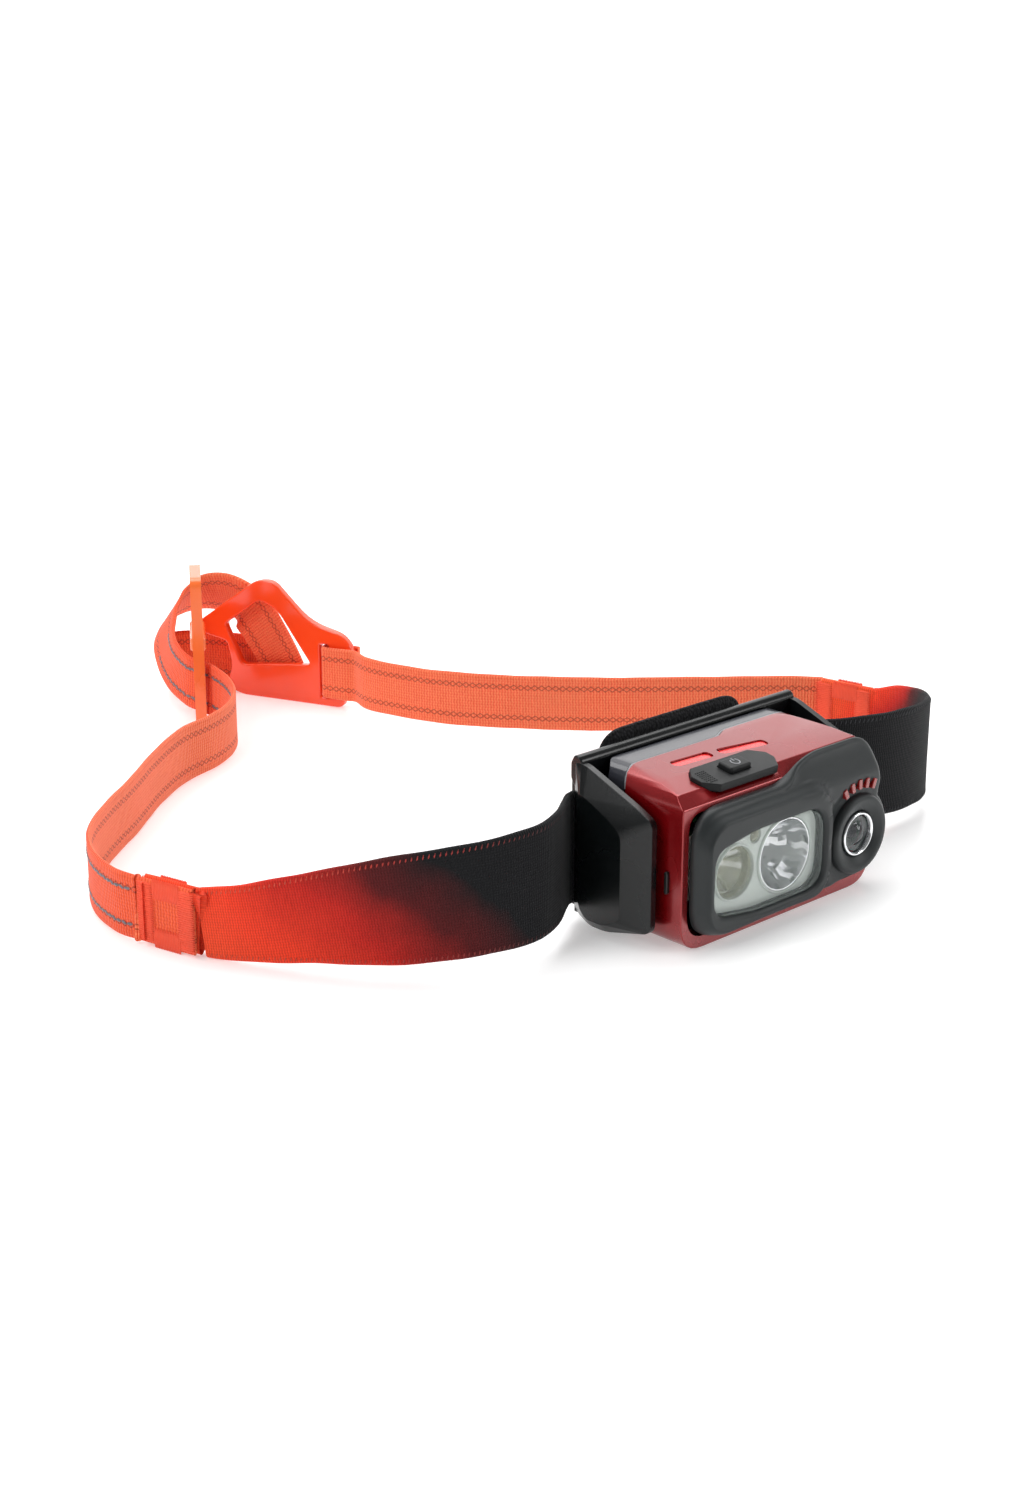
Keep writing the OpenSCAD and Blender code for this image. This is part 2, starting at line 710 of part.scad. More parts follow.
// Side arm with a sloping border, its inner face at x
module arm(x, side) {
  hull() {
    side_view(arm_outline, min(x, x + side * arm_t), max(x, x + side * arm_t));
    side_view(arm_panel, min(x, x + side * (arm_t + arm_swell)), max(x, x + side * (arm_t + arm_swell)));
  }
}
module bracket() {
  color([0.07, 0.08, 0.08])
    difference() {
      union() {
        block(arm_left - arm_t, arm_right + arm_t, plate_y, plate_back, band_base - 1.5, top_bar_z + 1);
        // chamfered bar along the top
        side_view(rounded([[plate_y, top_bar_z - 1, 0.5], [plate_y, top_bar_h - 1, 0.6], [plate_y + 1, top_bar_h, 0.5],
            [plate_back + 0.4, top_bar_h, 0.6], [plate_back + 1.4, top_bar_h - 1.8, 0.6], [plate_back + 1.4, top_bar_z + 1, 0.6],
            [plate_back, top_bar_z - 1, 0.3]]),
          arm_left - arm_t, arm_right + arm_t);
        arm(arm_left, -1);
        arm(arm_right, 1);
        for (x = [arm_left - eps, arm_right - arm_gap + 0.6])
          rod_x(3, hinge_y, hinge_z, x, x + arm_gap - 0.6 + eps);
        keeper(arm_left + 1);
        keeper(arm_right - 1 - keeper_w);
      }
      // blind bores that the hinge pins are pressed into
      for (x = [arm_left - arm_t, body_right])
        rod_x(pin_r, hinge_y, hinge_z, x, x + arm_t + arm_gap);
    }
}
// Loop that holds the band against the back of the plate
module keeper(x) {
  difference() {
    block(x, x + keeper_w, plate_back - eps, keeper_y + keeper_t, band_base - 1.5, top_bar_z);
    block(x - 1, x + keeper_w + 1, plate_back - 1, keeper_y, band_base - band_gap, band_base + band_w + band_gap);
  }
}
module hinge_pins() {
  color("silver")
    for (x = [arm_left - arm_t, body_right - bore_depth + 0.5])
      rod_x(pin_r, hinge_y, hinge_z, x, x + arm_t + arm_gap + bore_depth - 0.5);
}

// ---- headband ----

// A strap station is [x, y, height of its middle, width, lean]
function spline_point(a, b, c, d, t) =
  0.5 * ((2 * b) + (c - a) * t + (2 * a - 5 * b + 4 * c - d) * t * t + (3 * b - a - 3 * c + d) * t * t * t);
function spline(p, n) = concat(
  [for (i = [0:len(p) - 2], k = [0:n - 1])
    spline_point(p[max(i - 1, 0)], p[i], p[i + 1], p[min(i + 2, len(p) - 1)], k / n)],
  [p[len(p) - 1]]);
function place(s) = [s[0], s[1], s[2]];
// Four corners of the strap's section at step i
function ring(path, i, t) =
  let (along = unit(place(path[min(i + 1, len(path) - 1)]) - place(path[max(i - 1, 0)])),
       side = unit([-along[1], along[0], 0]),
       up = cross(along, side),
       lean = path[i][4],
       width = up * cos(lean) + side * sin(lean),
       thick = side * cos(lean) - up * sin(lean),
       middle = place(path[i]))
  [for (k = [[-1, -1], [1, -1], [1, 1], [-1, 1]]) middle + thick * k[0] * t / 2 + width * k[1] * path[i][3] / 2];
module strap(stations, t, steps = 4) {
  path = spline(stations, steps);
  last = len(path) - 1;
  points = [for (i = [0:last]) each ring(path, i, t)];
  faces = concat(
    [[0, 1, 2, 3]],
    [for (i = [0:last - 1], k = [0:3])
      each let (a = 4 * i + k, b = 4 * i + (k + 1) % 4) [[a, a + 4, b], [b, a + 4, b + 4]]],
    [[for (k = [3:-1:0]) 4 * last + k]]);
  polyhedron(points, faces);
}

layer = (band_t + strap_t) / 2 + 0.05;
joint_l = 14;
// Each sewn joint: where it starts, its direction along the band towards the rear, its middle height
left_joint = [[-106.5, 54.5], unit([-3.5, 14]), strap_w / 2 + 0.4];
right_joint = [[94.2, 36], unit([-2.4, 14]), 13];
function joint_point(j, along, out) = j[0] + j[1] * along + [j[1][1], -j[1][0]] * out;
function joint_station(j, along, out, w) = concat(joint_point(j, along, out), [j[2], w, 0]);

band_mid = band_base + band_w / 2;
band_y = plate_back + band_gap + band_t / 2;
band_stations = [
  joint_station(left_joint, joint_l, 0, strap_w + 0.4), joint_station(left_joint, 0, 0, strap_w + 0.6),
  joint_station(left_joint, -2, 0, strap_w + 1),
  [-101.5, 43.5, 9.2, strap_w + 2.4, 0], [-94.5, 33, 11.4, strap_w + 5, 0], [-84, 19.5, 14, band_w - 2.2, 0],
  [-70, 8.5, 16, band_w - 0.6, 0], [-57, 5, band_mid - 0.3, band_w, 0], [-48, 7.2, band_mid, band_w, 0],
  [arm_left - 5.5, band_y - 2, band_mid, band_w, 0], [arm_left - 1.8, band_y, band_mid, band_w, 0],
  [arm_left + 6, band_y, band_mid, band_w, 0], [arm_right - 6, band_y, band_mid, band_w, 0],
  [arm_right + 1.8, band_y, band_mid, band_w, 0], [arm_right + 5.5, band_y - 2, band_mid, band_w, 0],
  [47, 6.8, band_mid, band_w, 0], [58, 3.6, band_mid - 0.5, band_w, 0], [70, 3.8, 15.8, band_w, 0],
  [81, 8, 14.8, band_w - 0.5, 0], [90, 17.5, 14, band_w - 3, 0], [94, 27, 13.4, strap_w + 5, 0],
  joint_station(right_joint, -2, 0, strap_w + 1), joint_station(right_joint, 0, 0, strap_w + 0.6),
  joint_station(right_joint, joint_l, 0, strap_w + 0.4)];
module front_band() {
  color([0.1, 0.1, 0.11])
    strap(band_stations, band_t);
}
module forehead_pad() {
  pad_t = 3;
  front = keeper_y - band_gap + soft_gap - 0.05;
  color([0.09, 0.09, 0.1])
    front_view(box_outline(arm_left + keeper_w + 5, arm_right - keeper_w - 8, band_base - 1, body_h + 3.3, 8), front, front + pad_t);
}
// Bar tacks around a sewn joint, on both faces
module joint_stitching(j, outside) {
  tack = 2;
  thread = 0.3;
  rotate_to = atan2(j[1][1], j[1][0]);
  translate([j[0][0], j[0][1], j[2]])
    rotate([0, 0, rotate_to])
      for (face = [outside * (layer + (strap_t + thread) / 2), -outside * (band_t + thread) / 2]) {
        low = face - thread / 2;
        difference() {
          block(0.6, joint_l - 0.6, low, low + thread, -strap_w / 2 + 0.5, strap_w / 2 - 0.5);
          block(0.6 + tack, joint_l - 0.6 - tack, low - 1, low + 1, -strap_w / 2 + 0.5 + tack, strap_w / 2 - 0.5 - tack);
        }
      }
}
module left_joint_stitching() {
  color([0.95, 0.3, 0.2])
    joint_stitching(left_joint, 1);
}
module right_joint_stitching() {
  color([0.95, 0.3, 0.2])
    joint_stitching(right_joint, -1);
}

// Rear strap, from the left joint to the slider
low_mid = strap_w / 2 + 0.2;
left_stations = [
  joint_station(left_joint, 0, -layer, strap_w), joint_station(left_joint, joint_l, -layer, strap_w),
  joint_station(left_joint, joint_l + 2, -layer, strap_w),
  [-112.3, 77, low_mid, strap_w, 0], [-109.5, 89, low_mid, strap_w, 0], [-102, 101.5, low_mid, strap_w, 0],
  [-90, 112.5, low_mid, strap_w, 0], [-76, 123, low_mid, strap_w, 0], [-60, 136, low_mid, strap_w, 0],
  [-45.5, 145.5, low_mid, strap_w, 0], [-33, 149.8, low_mid, strap_w, 0], [-23.5, 155, low_mid + 0.2, strap_w, 0],
  [-16.5, 162.5, low_mid + 0.8, strap_w, 0], [-12.4, 171.5, low_mid + 1.6, strap_w, 0],
  [-10.9, 180, low_mid + 2.2, strap_w, 0]];
// Same strap from the slider round the loop and down behind the yoke
loop_stations = [
  [-10.9, 180.5, low_mid + 2.2, strap_w, 0], [-11.4, 185.2, low_mid + 2.6, strap_w, 0],
  [-12, 190.5, low_mid + 3.2, strap_w, 0], [-10.6, 199, low_mid + 5.4, strap_w, -6],
  [-7, 207, low_mid + 8.6, strap_w, -18], [-2.2, 213, low_mid + 13, strap_w, -34], [4.4, 215.6, low_mid + 17, strap_w, -44],
  [11.4, 213.4, low_mid + 19.4, strap_w, -38], [15, 206.6, low_mid + 19.6, strap_w, -20], [15.9, 199.6, low_mid + 17.6, strap_w, -3],
  [17.4, 195.2, low_mid + 12.8, strap_w, 0], [19.2, 189.9, low_mid + 4.6, strap_w - 0.6, 0],
  [20.4, 186.4, low_mid - 1.6, strap_w - 1.4, 0]];
// Lower strand from the yoke back to the cut end
tail_mid = strap_w / 2 + 1.2;
tail_stations = [
  [22.6, 187.6, tail_mid, strap_w, 0], [18.8, 196.9, tail_mid, strap_w, 0], [14.6, 206, tail_mid, strap_w, 0],
  [9.8, 213.4, tail_mid, strap_w, 0], [5, 217.2, tail_mid, strap_w, 0], [0.6, 218, tail_mid, strap_w, 0]];
module left_strap() {
  color([0.96, 0.36, 0.25])
    strap(left_stations, strap_t);
}
module strap_loop() {
  color([0.96, 0.36, 0.25])
    strap(loop_stations, strap_t, 6);
}
module strap_tail() {
  color([0.96, 0.36, 0.25])
    strap(tail_stations, strap_t);
}

// ---- slider: tall three-bar buckle ----
slider_h = 41.8;
slider_w = 19;
slider_t = 3;
slider_bar = 2.8;
slider_at = [-9.2, 188.2];
slider_turn = atan2(0.818, 0.575);
slider_slot_base = 2;
slider_kink_z = 23.5;
module slider() {
  slot_w = (slider_w - 3 * slider_bar) / 2;
  // lower slots take the webbing, upper slots are the spare ones
  slots = [[slider_slot_base, slider_slot_base + strap_w + 5], [slider_kink_z + 0.9, slider_h - 2.4]];
  color([0.98, 0.42, 0.2])
    translate([slider_at[0], slider_at[1], 0])
      rotate([0, 0, slider_turn])
        difference() {
          union() {
            front_view(box_outline(-slider_w / 2, slider_w / 2, 0, slider_h, 3), -slider_t / 2, slider_t / 2);
            front_view(box_outline(-slider_w / 2, slider_w / 2, slider_kink_z - 2, slider_kink_z + 2, 0.5),
              -slider_t / 2 - 0.6, slider_t / 2 + 0.6);
          }
          for (side = [-1, 1], slot = slots)
            block(side * (slider_bar + slot_w) / 2 - slot_w / 2, side * (slider_bar + slot_w) / 2 + slot_w / 2,
              -far, far, slot[0], slot[1]);
        }
}

// ---- rear yoke: plate that gathers the two strands and the right strap ----
yoke_at = [15.75, 191.3];
yoke_turn = atan2(-0.923, 0.385);
yoke_t = 2.6;
pocket_gap = 4.6;
yoke_outline = rounded([
  [-20.5, 17, 1.5], [-20.5, 20.5, 1.5], [-1, 34.6, 2.6], [4, 34.6, 2.2], [15, 24, 5], [26, 21.3, 2.6], [29, 17.5, 2], [27.5, 8, 3],
  [25.6, 0, 2], [10, 0, 4], [-8, 0, 2.8], [-12.5, 2.4, 2], [-10, 8, 3], [-11.6, 15.4, 1.5]]);
yoke_window = rounded([[-6.8, 9, 1.5], [-12, 20.4, 1.2], [-0.6, 28.8, 2], [5.2, 26.4, 3], [11, 18, 3], [15.6, 11.5, 1.5], [4, 10.4, 2]]);
module rear_yoke() {
  slot_x = 18.6;
  slot_w = 3;
  color([0.98, 0.3, 0.18])
    translate([yoke_at[0], yoke_at[1], 0])
      rotate([0, 0, yoke_turn]) {
        difference() {
          front_view(yoke_outline, -yoke_t / 2, yoke_t / 2);
          front_view(yoke_window, -far, far);
          block(slot_x, slot_x + slot_w, -far, far, 2.4, 2.4 + strap_w + 0.6);
        }
        // pocket behind the lower bar, open at the left and the top
        block(-4, 16.4, 0.6, yoke_t / 2 + pocket_gap + 1.2, 0, 1);
        block(-4, 16.4, yoke_t / 2 + pocket_gap, yoke_t / 2 + pocket_gap + 1.2, 0, 9);
        block(15.4, 16.4, 0.6, yoke_t / 2 + pocket_gap + 1.2, 0, 9);
      }
}
// Point beside the yoke: s along its plate, n behind it
function yoke_point(s, n) = yoke_at + s * [cos(yoke_turn), sin(yoke_turn)] + n * [-sin(yoke_turn), cos(yoke_turn)];
right_mid = strap_w / 2 + 2.7;
strap_front = -yoke_t / 2 - soft_gap - strap_t / 2;
right_stations = [
  concat(yoke_point(19 + strap_t + 0.02, strap_front), [right_mid, strap_w, 0]), concat(yoke_point(27, strap_front), [right_mid, strap_w, 0]),
  concat(yoke_point(30.5, strap_front), [right_mid, strap_w, 0]),
  [23.6, 155, right_mid, strap_w, 0], [25.4, 145, right_mid, strap_w, 0], [30, 132, right_mid, strap_w, 0],
  [38.6, 116.5, right_mid + 0.4, strap_w, 0], [53, 97, right_mid + 1, strap_w, 0], [70, 78, right_mid + 1.8, strap_w, 0],
  [84.5, 62, right_mid + 2.6, strap_w, 0],
  joint_station(right_joint, joint_l + 2, layer, strap_w), joint_station(right_joint, joint_l, layer, strap_w),
  joint_station(right_joint, 0, layer, strap_w)];
module right_strap() {
  back = yoke_t / 2 + soft_gap;
  color([0.97, 0.35, 0.25]) {
    strap(right_stations, strap_t);
    // end folded round the yoke's outer bar
    translate([yoke_at[0], yoke_at[1], 0])
      rotate([0, 0, yoke_turn]) {
        difference() {
          block(19, 30, -back - strap_t, back + strap_t, right_mid - strap_w / 2, right_mid + strap_w / 2);
          block(19 + strap_t, far, -far, back, -far, far);
        }
      }
  }
}

housing();
chassis();
bezel();
bezel_gasket();
lens();
lens_seal();
optic_carrier();
main_reflector();
main_led();
flood_optic();
flood_led();
red_led();
led_board();
heat_sink();
circuit_board();
tact_switch();
sensor_ring();
sensor_lens();
light_sensor();
sensor_board();
gauge_bars();
chassis_screws();
contact_pins();
usb_port();
port_cover();
button_pad();
power_button();
battery_case();
battery_cap();
battery_bead();
battery_cell();
battery_board();
battery_contacts();
bracket();
hinge_pins();
front_band();
forehead_pad();
left_joint_stitching();
right_joint_stitching();
left_strap();
strap_loop();
strap_tail();
right_strap();
slider();
rear_yoke();
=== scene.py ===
import math

import bmesh
import bpy
from mathutils import Matrix, Vector


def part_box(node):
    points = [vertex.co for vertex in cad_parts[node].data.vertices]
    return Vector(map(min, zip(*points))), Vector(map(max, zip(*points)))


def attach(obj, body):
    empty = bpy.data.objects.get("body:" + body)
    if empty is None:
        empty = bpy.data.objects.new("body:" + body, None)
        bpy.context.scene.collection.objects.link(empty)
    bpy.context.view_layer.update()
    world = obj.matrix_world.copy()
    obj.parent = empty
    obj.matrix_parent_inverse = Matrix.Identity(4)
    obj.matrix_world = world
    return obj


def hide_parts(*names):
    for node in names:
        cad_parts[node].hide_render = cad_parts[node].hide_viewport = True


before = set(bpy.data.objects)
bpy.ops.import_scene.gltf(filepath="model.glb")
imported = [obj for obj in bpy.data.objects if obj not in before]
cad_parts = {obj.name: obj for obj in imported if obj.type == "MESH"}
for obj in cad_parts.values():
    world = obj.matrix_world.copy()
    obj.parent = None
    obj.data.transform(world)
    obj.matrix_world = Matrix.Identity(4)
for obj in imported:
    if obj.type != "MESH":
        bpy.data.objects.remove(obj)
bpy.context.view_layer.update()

scene = bpy.context.scene
MM = 0.001

# ---------------------------------------------------------------- camera and studio


def make_camera():
    data = bpy.data.cameras.new("camera")
    data.lens = 54.96
    data.sensor_width = 36
    data.clip_start = 0.01
    data.clip_end = 50
    camera = bpy.data.objects.new("camera", data)
    scene.collection.objects.link(camera)
    camera.location = (-0.3628, -0.3140, 0.1960)
    camera.rotation_mode = "QUATERNION"
    camera.rotation_quaternion = Vector((0.6496, 0.6894, -0.3206)).to_track_quat("-Z", "Y")
    scene.camera = camera


def softbox(name, place, aim, size, watts):
    data = bpy.data.lights.new(name, "AREA")
    data.shape = "RECTANGLE"
    data.size, data.size_y = size
    data.energy = watts
    lamp = bpy.data.objects.new(name, data)
    scene.collection.objects.link(lamp)
    lamp.location = place
    lamp.rotation_mode = "QUATERNION"
    lamp.rotation_quaternion = (Vector(aim) - Vector(place)).to_track_quat("-Z", "Y")


# ---------------------------------------------------------------- finishes


def srgb(red, green, blue):
    """Linear colour from an 8-bit swatch"""
    return tuple((c / 255 / 12.92) if c <= 10 else ((c / 255 + 0.055) / 1.055) ** 2.4 for c in (red, green,
            blue)) + (1,)


class Finish:
    """A procedural surface finish, built round one shader"""

    def __init__(self, name, colour, rough, **sockets):
        self.material = bpy.data.materials.new(name)
        self.material.use_nodes = True
        self.tree = self.material.node_tree
        self.shader = self.tree.nodes["Principled BSDF"]
        self.set("Base Color", colour)
        self.set("Roughness", rough)
        for socket, value in sockets.items():
            self.set(socket.replace("_", " "), value)

    def set(self, socket, value):
        self.shader.inputs[socket].default_value = value

    def node(self, kind, **settings):
        made = self.tree.nodes.new(kind)
        for key, value in settings.items():
            setattr(made, key, value)
        return made

    def feed(self, source, target):
        self.tree.links.new(source, target)

    def math(self, operation, first, second=0.0, third=0.0):
        made = self.node("ShaderNodeMath", operation=operation)
        for socket, value in zip(made.inputs, (first, second, third)):
            if isinstance(value, (int, float)):
                socket.default_value = value
            else:
                self.feed(value, socket)
        return made.outputs[0]

    def times(self, first, second):
        return self.math("MULTIPLY", first, second)

    def plus(self, first, second):
        return self.math("ADD", first, second)

    def paint(self, colour):
        self.feed(colour, self.shader.inputs["Base Color"])

    def coords(self):
        return self.node("ShaderNodeTexCoord").outputs["Object"]

    def noise(self, vector, scale, detail):
        made = self.node("ShaderNodeTexNoise")
        made.inputs["Scale"].default_value = scale
        made.inputs["Detail"].default_value = detail
        self.feed(vector, made.inputs["Vector"])
        return made.outputs[0]

    def span(self, value, low, high, from_low=0.0, from_high=1.0):
        made = self.node("ShaderNodeMapRange")
        self.feed(value, made.inputs["Value"])
        for key, number in (("From Min", from_low), ("From Max", from_high), ("To Min", low),
                ("To Max", high)):
            made.inputs[key].default_value = number
        return made.outputs[0]

    def blend(self, share, dark, light):
        made = self.node("ShaderNodeMix", data_type="RGBA")
        self.feed(share, made.inputs[0])
        for socket, value in ((made.inputs[6], dark), (made.inputs[7], light)):
            if isinstance(value, tuple):
                socket.default_value = value
            else:
                self.feed(value, socket)
        return made.outputs[2]

    def bump(self, height, distance):
        made = self.node("ShaderNodeBump")
        made.inputs["Strength"].default_value = 1.0
        made.inputs["Distance"].default_value = distance
        self.feed(height, made.inputs["Height"])
        self.feed(made.outputs[0], self.shader.inputs["Normal"])


def shade(colour, amount):
    """The colour made lighter or darker"""
    return tuple(min(1.0, c * amount) for c in colour[:3]) + (1,)


def moulded(name, colour, rough, grain=2200, depth=0.00002, drift=0.12, spread=0.06, **sockets):
    """Moulded, painted or metal surface: fine grain, with slow drift in colour and gloss"""
    made = Finish(name, colour, rough, **sockets)
    where = made.coords()
    slow = made.noise(where, 70, 3)
    fine = made.noise(where, grain, 2)
    made.paint(made.blend(slow, shade(colour, 1 - drift), shade(colour, 1 + drift)))
    made.feed(made.span(slow, rough - spread, rough + spread, 0.3, 0.7), made.shader.inputs["Roughness"])
    made.bump(fine, depth)
    return made


def brushed(name, colour, rough, stretch=(60, 2600, 2600)):
    """Metal with fine lines along its length"""
    made = Finish(name, colour, rough, Metallic=1.0)
    mapping = made.node("ShaderNodeMapping")
    mapping.inputs["Scale"].default_value = stretch
    made.feed(made.coords(), mapping.inputs["Vector"])
    lines = made.noise(mapping.outputs[0], 1.0, 3)
    made.paint(made.blend(lines, shade(colour, 0.85), shade(colour, 1.08)))
    made.feed(made.span(lines, rough - 0.08, rough + 0.08, 0.3, 0.7), made.shader.inputs["Roughness"])
    made.bump(lines, 0.00001)
    return made


def cloth_height(made, rib, chevron, slant):
    """Height of a ribbed weave on the strip's own UV map, which is in metres, and the two directions"""
    uv = made.node("ShaderNodeSeparateXYZ")
    made.feed(made.node("ShaderNodeTexCoord").outputs["UV"], uv.inputs[0])
    along, across = uv.outputs[0], uv.outputs[1]
    zigzag = made.math("PINGPONG", made.math("DIVIDE", across, chevron), 0.5)
    phase = made.plus(made.math("DIVIDE", along, rib), made.times(zigzag, slant))
    wave = made.math("SINE", made.times(phase, 2 * math.pi))
    rows = made.math("SINE", made.times(made.math("DIVIDE", across, chevron / 2), 2 * math.pi))
    height = made.math("MULTIPLY_ADD", wave, 0.35, 0.5)
    height = made.math("MULTIPLY_ADD", rows, 0.15, height)
    return height, along, across


def webbing(name, colour, deep, edge_half, depth=0.0002):
    """Elastic webbing: fine ribs across, and rows of chain stitch beside each edge"""
    made = Finish(name, colour, 0.78, Sheen_Weight=0.12, Sheen_Roughness=0.4)
    height, along, across = cloth_height(made, 0.0008, 0.0015, 0.5)
    out = made.math("ABSOLUTE", across)
    row = made.math("SUBTRACT", out, edge_half - 0.0029)
    wiggle = made.times(made.math("SINE", made.times(along, 2 * math.pi / 0.0019)), 0.00026)
    stitch = made.math("LESS_THAN", made.math("ABSOLUTE", made.math("SUBTRACT", row, wiggle)), 0.00019)
    stitch2 = made.math("LESS_THAN", made.math("ABSOLUTE", made.plus(made.plus(row, 0.0007), wiggle)),
            0.00017)
    both = made.math("MAXIMUM", stitch, stitch2)
    fuzz = made.noise(made.coords(), 1500, 3)
    slow = made.noise(made.coords(), 45, 2)
    # colour follows the weave's height: painted shade in its hollows, with random fuzz mixed in
    hollow_shade_and_fuzz = made.plus(made.times(height, 0.55), made.times(fuzz, 0.5))
    base = made.blend(made.span(hollow_shade_and_fuzz, 0.0, 1.0, 0.25, 0.8), deep, colour)
    base = made.blend(made.span(slow, 0.0, 0.25, 0.4, 0.7), base, shade(colour, 0.82))
    base = made.blend(made.times(both, 0.75), base, shade(deep, 0.5))
    made.paint(base)
    made.bump(made.math("SUBTRACT", made.plus(height, made.times(fuzz, 0.5)), made.times(both, 0.7)), depth)
    return made


def band_cloth(name, length, left_fade, right_fade):
    """Black twill that fades through dark red to orange at both sewn ends"""
    black = srgb(17, 18, 21)
    made = Finish(name, black, 0.85, Sheen_Weight=0.06, Sheen_Roughness=0.5, Specular_IOR_Level=0.25)
    height, along, across = cloth_height(made, 0.0006, 0.0012, 0.5)
    fuzz = made.noise(made.coords(), 1300, 3)
    drift = made.times(made.math("SUBTRACT", made.noise(made.coords(), 90, 2), 0.5), 0.012)
    spot = made.plus(made.plus(along, drift), made.times(across, 0.9))
    left = made.math("DIVIDE", spot, left_fade)
    right = made.math("DIVIDE", made.math("SUBTRACT", length, spot), right_fade)
    fade = made.node("ShaderNodeValToRGB")
    made.feed(made.math("MINIMUM", left, right), fade.inputs[0])
    ramp = fade.color_ramp
    stops = [(0.0, srgb(255, 92, 52)), (0.34, srgb(255, 68, 38)), (0.58, srgb(206, 38, 28)),
            (0.78, srgb(96, 20, 22)), (0.97, black)]
    ramp.elements[0].position, ramp.elements[0].color = stops[0]
    ramp.elements[1].position, ramp.elements[1].color = stops[-1]
    for position, colour in stops[1:-1]:
        ramp.elements.new(position).color = colour
    hollow_shade_and_fuzz = made.plus(made.times(height, 0.6), made.times(fuzz, 0.4))
    # darker where the twill lies low: painted shade in its hollows, with random fuzz mixed in
    dark = made.node("ShaderNodeMix", data_type="RGBA", blend_type="MULTIPLY")
    made.feed(made.span(hollow_shade_and_fuzz, 0.55, 0.0, 0.25, 0.75), dark.inputs[0])
    made.feed(fade.outputs[0], dark.inputs[6])
    dark.inputs[7].default_value = (0.45, 0.42, 0.43, 1)
    made.paint(dark.outputs[2])
    made.bump(made.plus(height, made.times(fuzz, 0.5)), 0.00012)
    return made


def knit_cloth(name, colour, pitch):
    """Open knit on object coordinates, for the pad"""
    made = Finish(name, colour, 0.9, Sheen_Weight=0.08, Sheen_Roughness=0.5, Specular_IOR_Level=0.25)
    spots = made.node("ShaderNodeTexVoronoi")
    spots.inputs["Scale"].default_value = 1 / pitch
    made.feed(made.coords(), spots.inputs["Vector"])
    fuzz = made.noise(made.coords(), 1800, 3)
    mixed = made.plus(spots.outputs["Distance"], made.times(fuzz, 0.3))
    # dark at the rims of the knit's cells and light at their middles: painted shade between the loops,
    # lighter on their raised middles, with random fuzz
    made.paint(made.blend(made.span(mixed, 1.0, 0.0, 0.1, 0.9), shade(colour, 0.35), shade(colour, 1.8)))
    made.bump(made.times(mixed, -1.0), 0.00025)
    return made


def clear_plastic(name, tint, rough, see_through, at_edge):
    """Clear cover: see-through face on, with gloss that grows at a glancing angle"""
    made = Finish(name, tint, rough, IOR=1.49, Coat_Weight=0.6, Coat_Roughness=0.02)
    rim = made.node("ShaderNodeLayerWeight")
    rim.inputs["Blend"].default_value = 0.28
    haze = made.noise(made.coords(), 500, 2)
    opacity = made.plus(made.span(rim.outputs["Facing"], see_through, at_edge), made.times(haze, 0.03))
    made.feed(opacity, made.shader.inputs["Alpha"])
    made.bump(haze, 0.000004)
    return made


RED = moulded("red_shell_paint", srgb(142, 6, 14), 0.26, grain=2600, depth=0.000012, drift=0.1,
        Metallic=0.55, Coat_Weight=0.7, Coat_Roughness=0.16)
BRIGHT_RED = moulded("bright_red_insert", srgb(226, 22, 24), 0.22, drift=0.06, Coat_Weight=0.6,
        Coat_Roughness=0.1)
SOFT_GREY = moulded("soft_touch_grey", srgb(38, 42, 43), 0.44, Specular_IOR_Level=0.35, grain=3200,
        depth=0.00001, drift=0.06, spread=0.03)
BLACK = moulded("satin_black", srgb(9, 12, 13), 0.27, Specular_IOR_Level=0.38, grain=3200, depth=0.000008,
        drift=0.08, spread=0.04)
RUBBER = moulded("black_rubber_skin", srgb(20, 22, 23), 0.48, Specular_IOR_Level=0.3, grain=2600,
        depth=0.000015, drift=0.08)
CLEAR = clear_plastic("clear_cover", srgb(176, 188, 184), 0.04, 0.02, 0.4)
SMOKED = clear_plastic("smoked_cover", srgb(58, 62, 66), 0.05, 0.4, 0.85)
PALE = moulded("pale_optic_tray", srgb(214, 222, 216), 0.3, drift=0.04)
CHROME = moulded("bright_chrome", srgb(235, 236, 238), 0.09, grain=900, depth=0.000004, drift=0.03,
        spread=0.03, Metallic=1.0)
PHOSPHOR = moulded("led_phosphor_dome", srgb(240, 218, 96), 0.25, drift=0.08, Coat_Weight=0.6)
FLOOD_GLASS = clear_plastic("ribbed_flood_glass", srgb(216, 216, 176), 0.1, 0.16, 0.75)
WHITE_BOARD = moulded("white_board_mask", srgb(224, 226, 220), 0.42, drift=0.04)
GREEN_BOARD = moulded("green_board_mask", srgb(30, 92, 54), 0.36, grain=1500, drift=0.25)
ALUMINIUM = brushed("brushed_aluminium", srgb(202, 204, 206), 0.34)
STEEL = brushed("turned_steel", srgb(186, 188, 190), 0.28, stretch=(2600, 200, 2600))
GOLD = brushed("gold_plate", srgb(228, 184, 96), 0.22)
LIGHT_PIPE = moulded("red_light_pipe", srgb(150, 26, 22), 0.2, drift=0.15, Coat_Weight=0.7)
BATTERY = moulded("battery_gloss_grey", srgb(52, 53, 60), 0.2, grain=2800, depth=0.000006, drift=0.08,
        spread=0.04, Coat_Weight=0.4, Coat_Roughness=0.08)
BEAD = moulded("pale_bead_rubber", srgb(134, 136, 140), 0.42, drift=0.06)
FOIL = brushed("cell_foil", srgb(196, 198, 202), 0.3, stretch=(900, 900, 90))
ORANGE = moulded("gloss_orange", srgb(255, 74, 24), 0.22, grain=1200, depth=0.00001, drift=0.05, spread=0.05,
        Coat_Weight=0.5, Coat_Roughness=0.1)
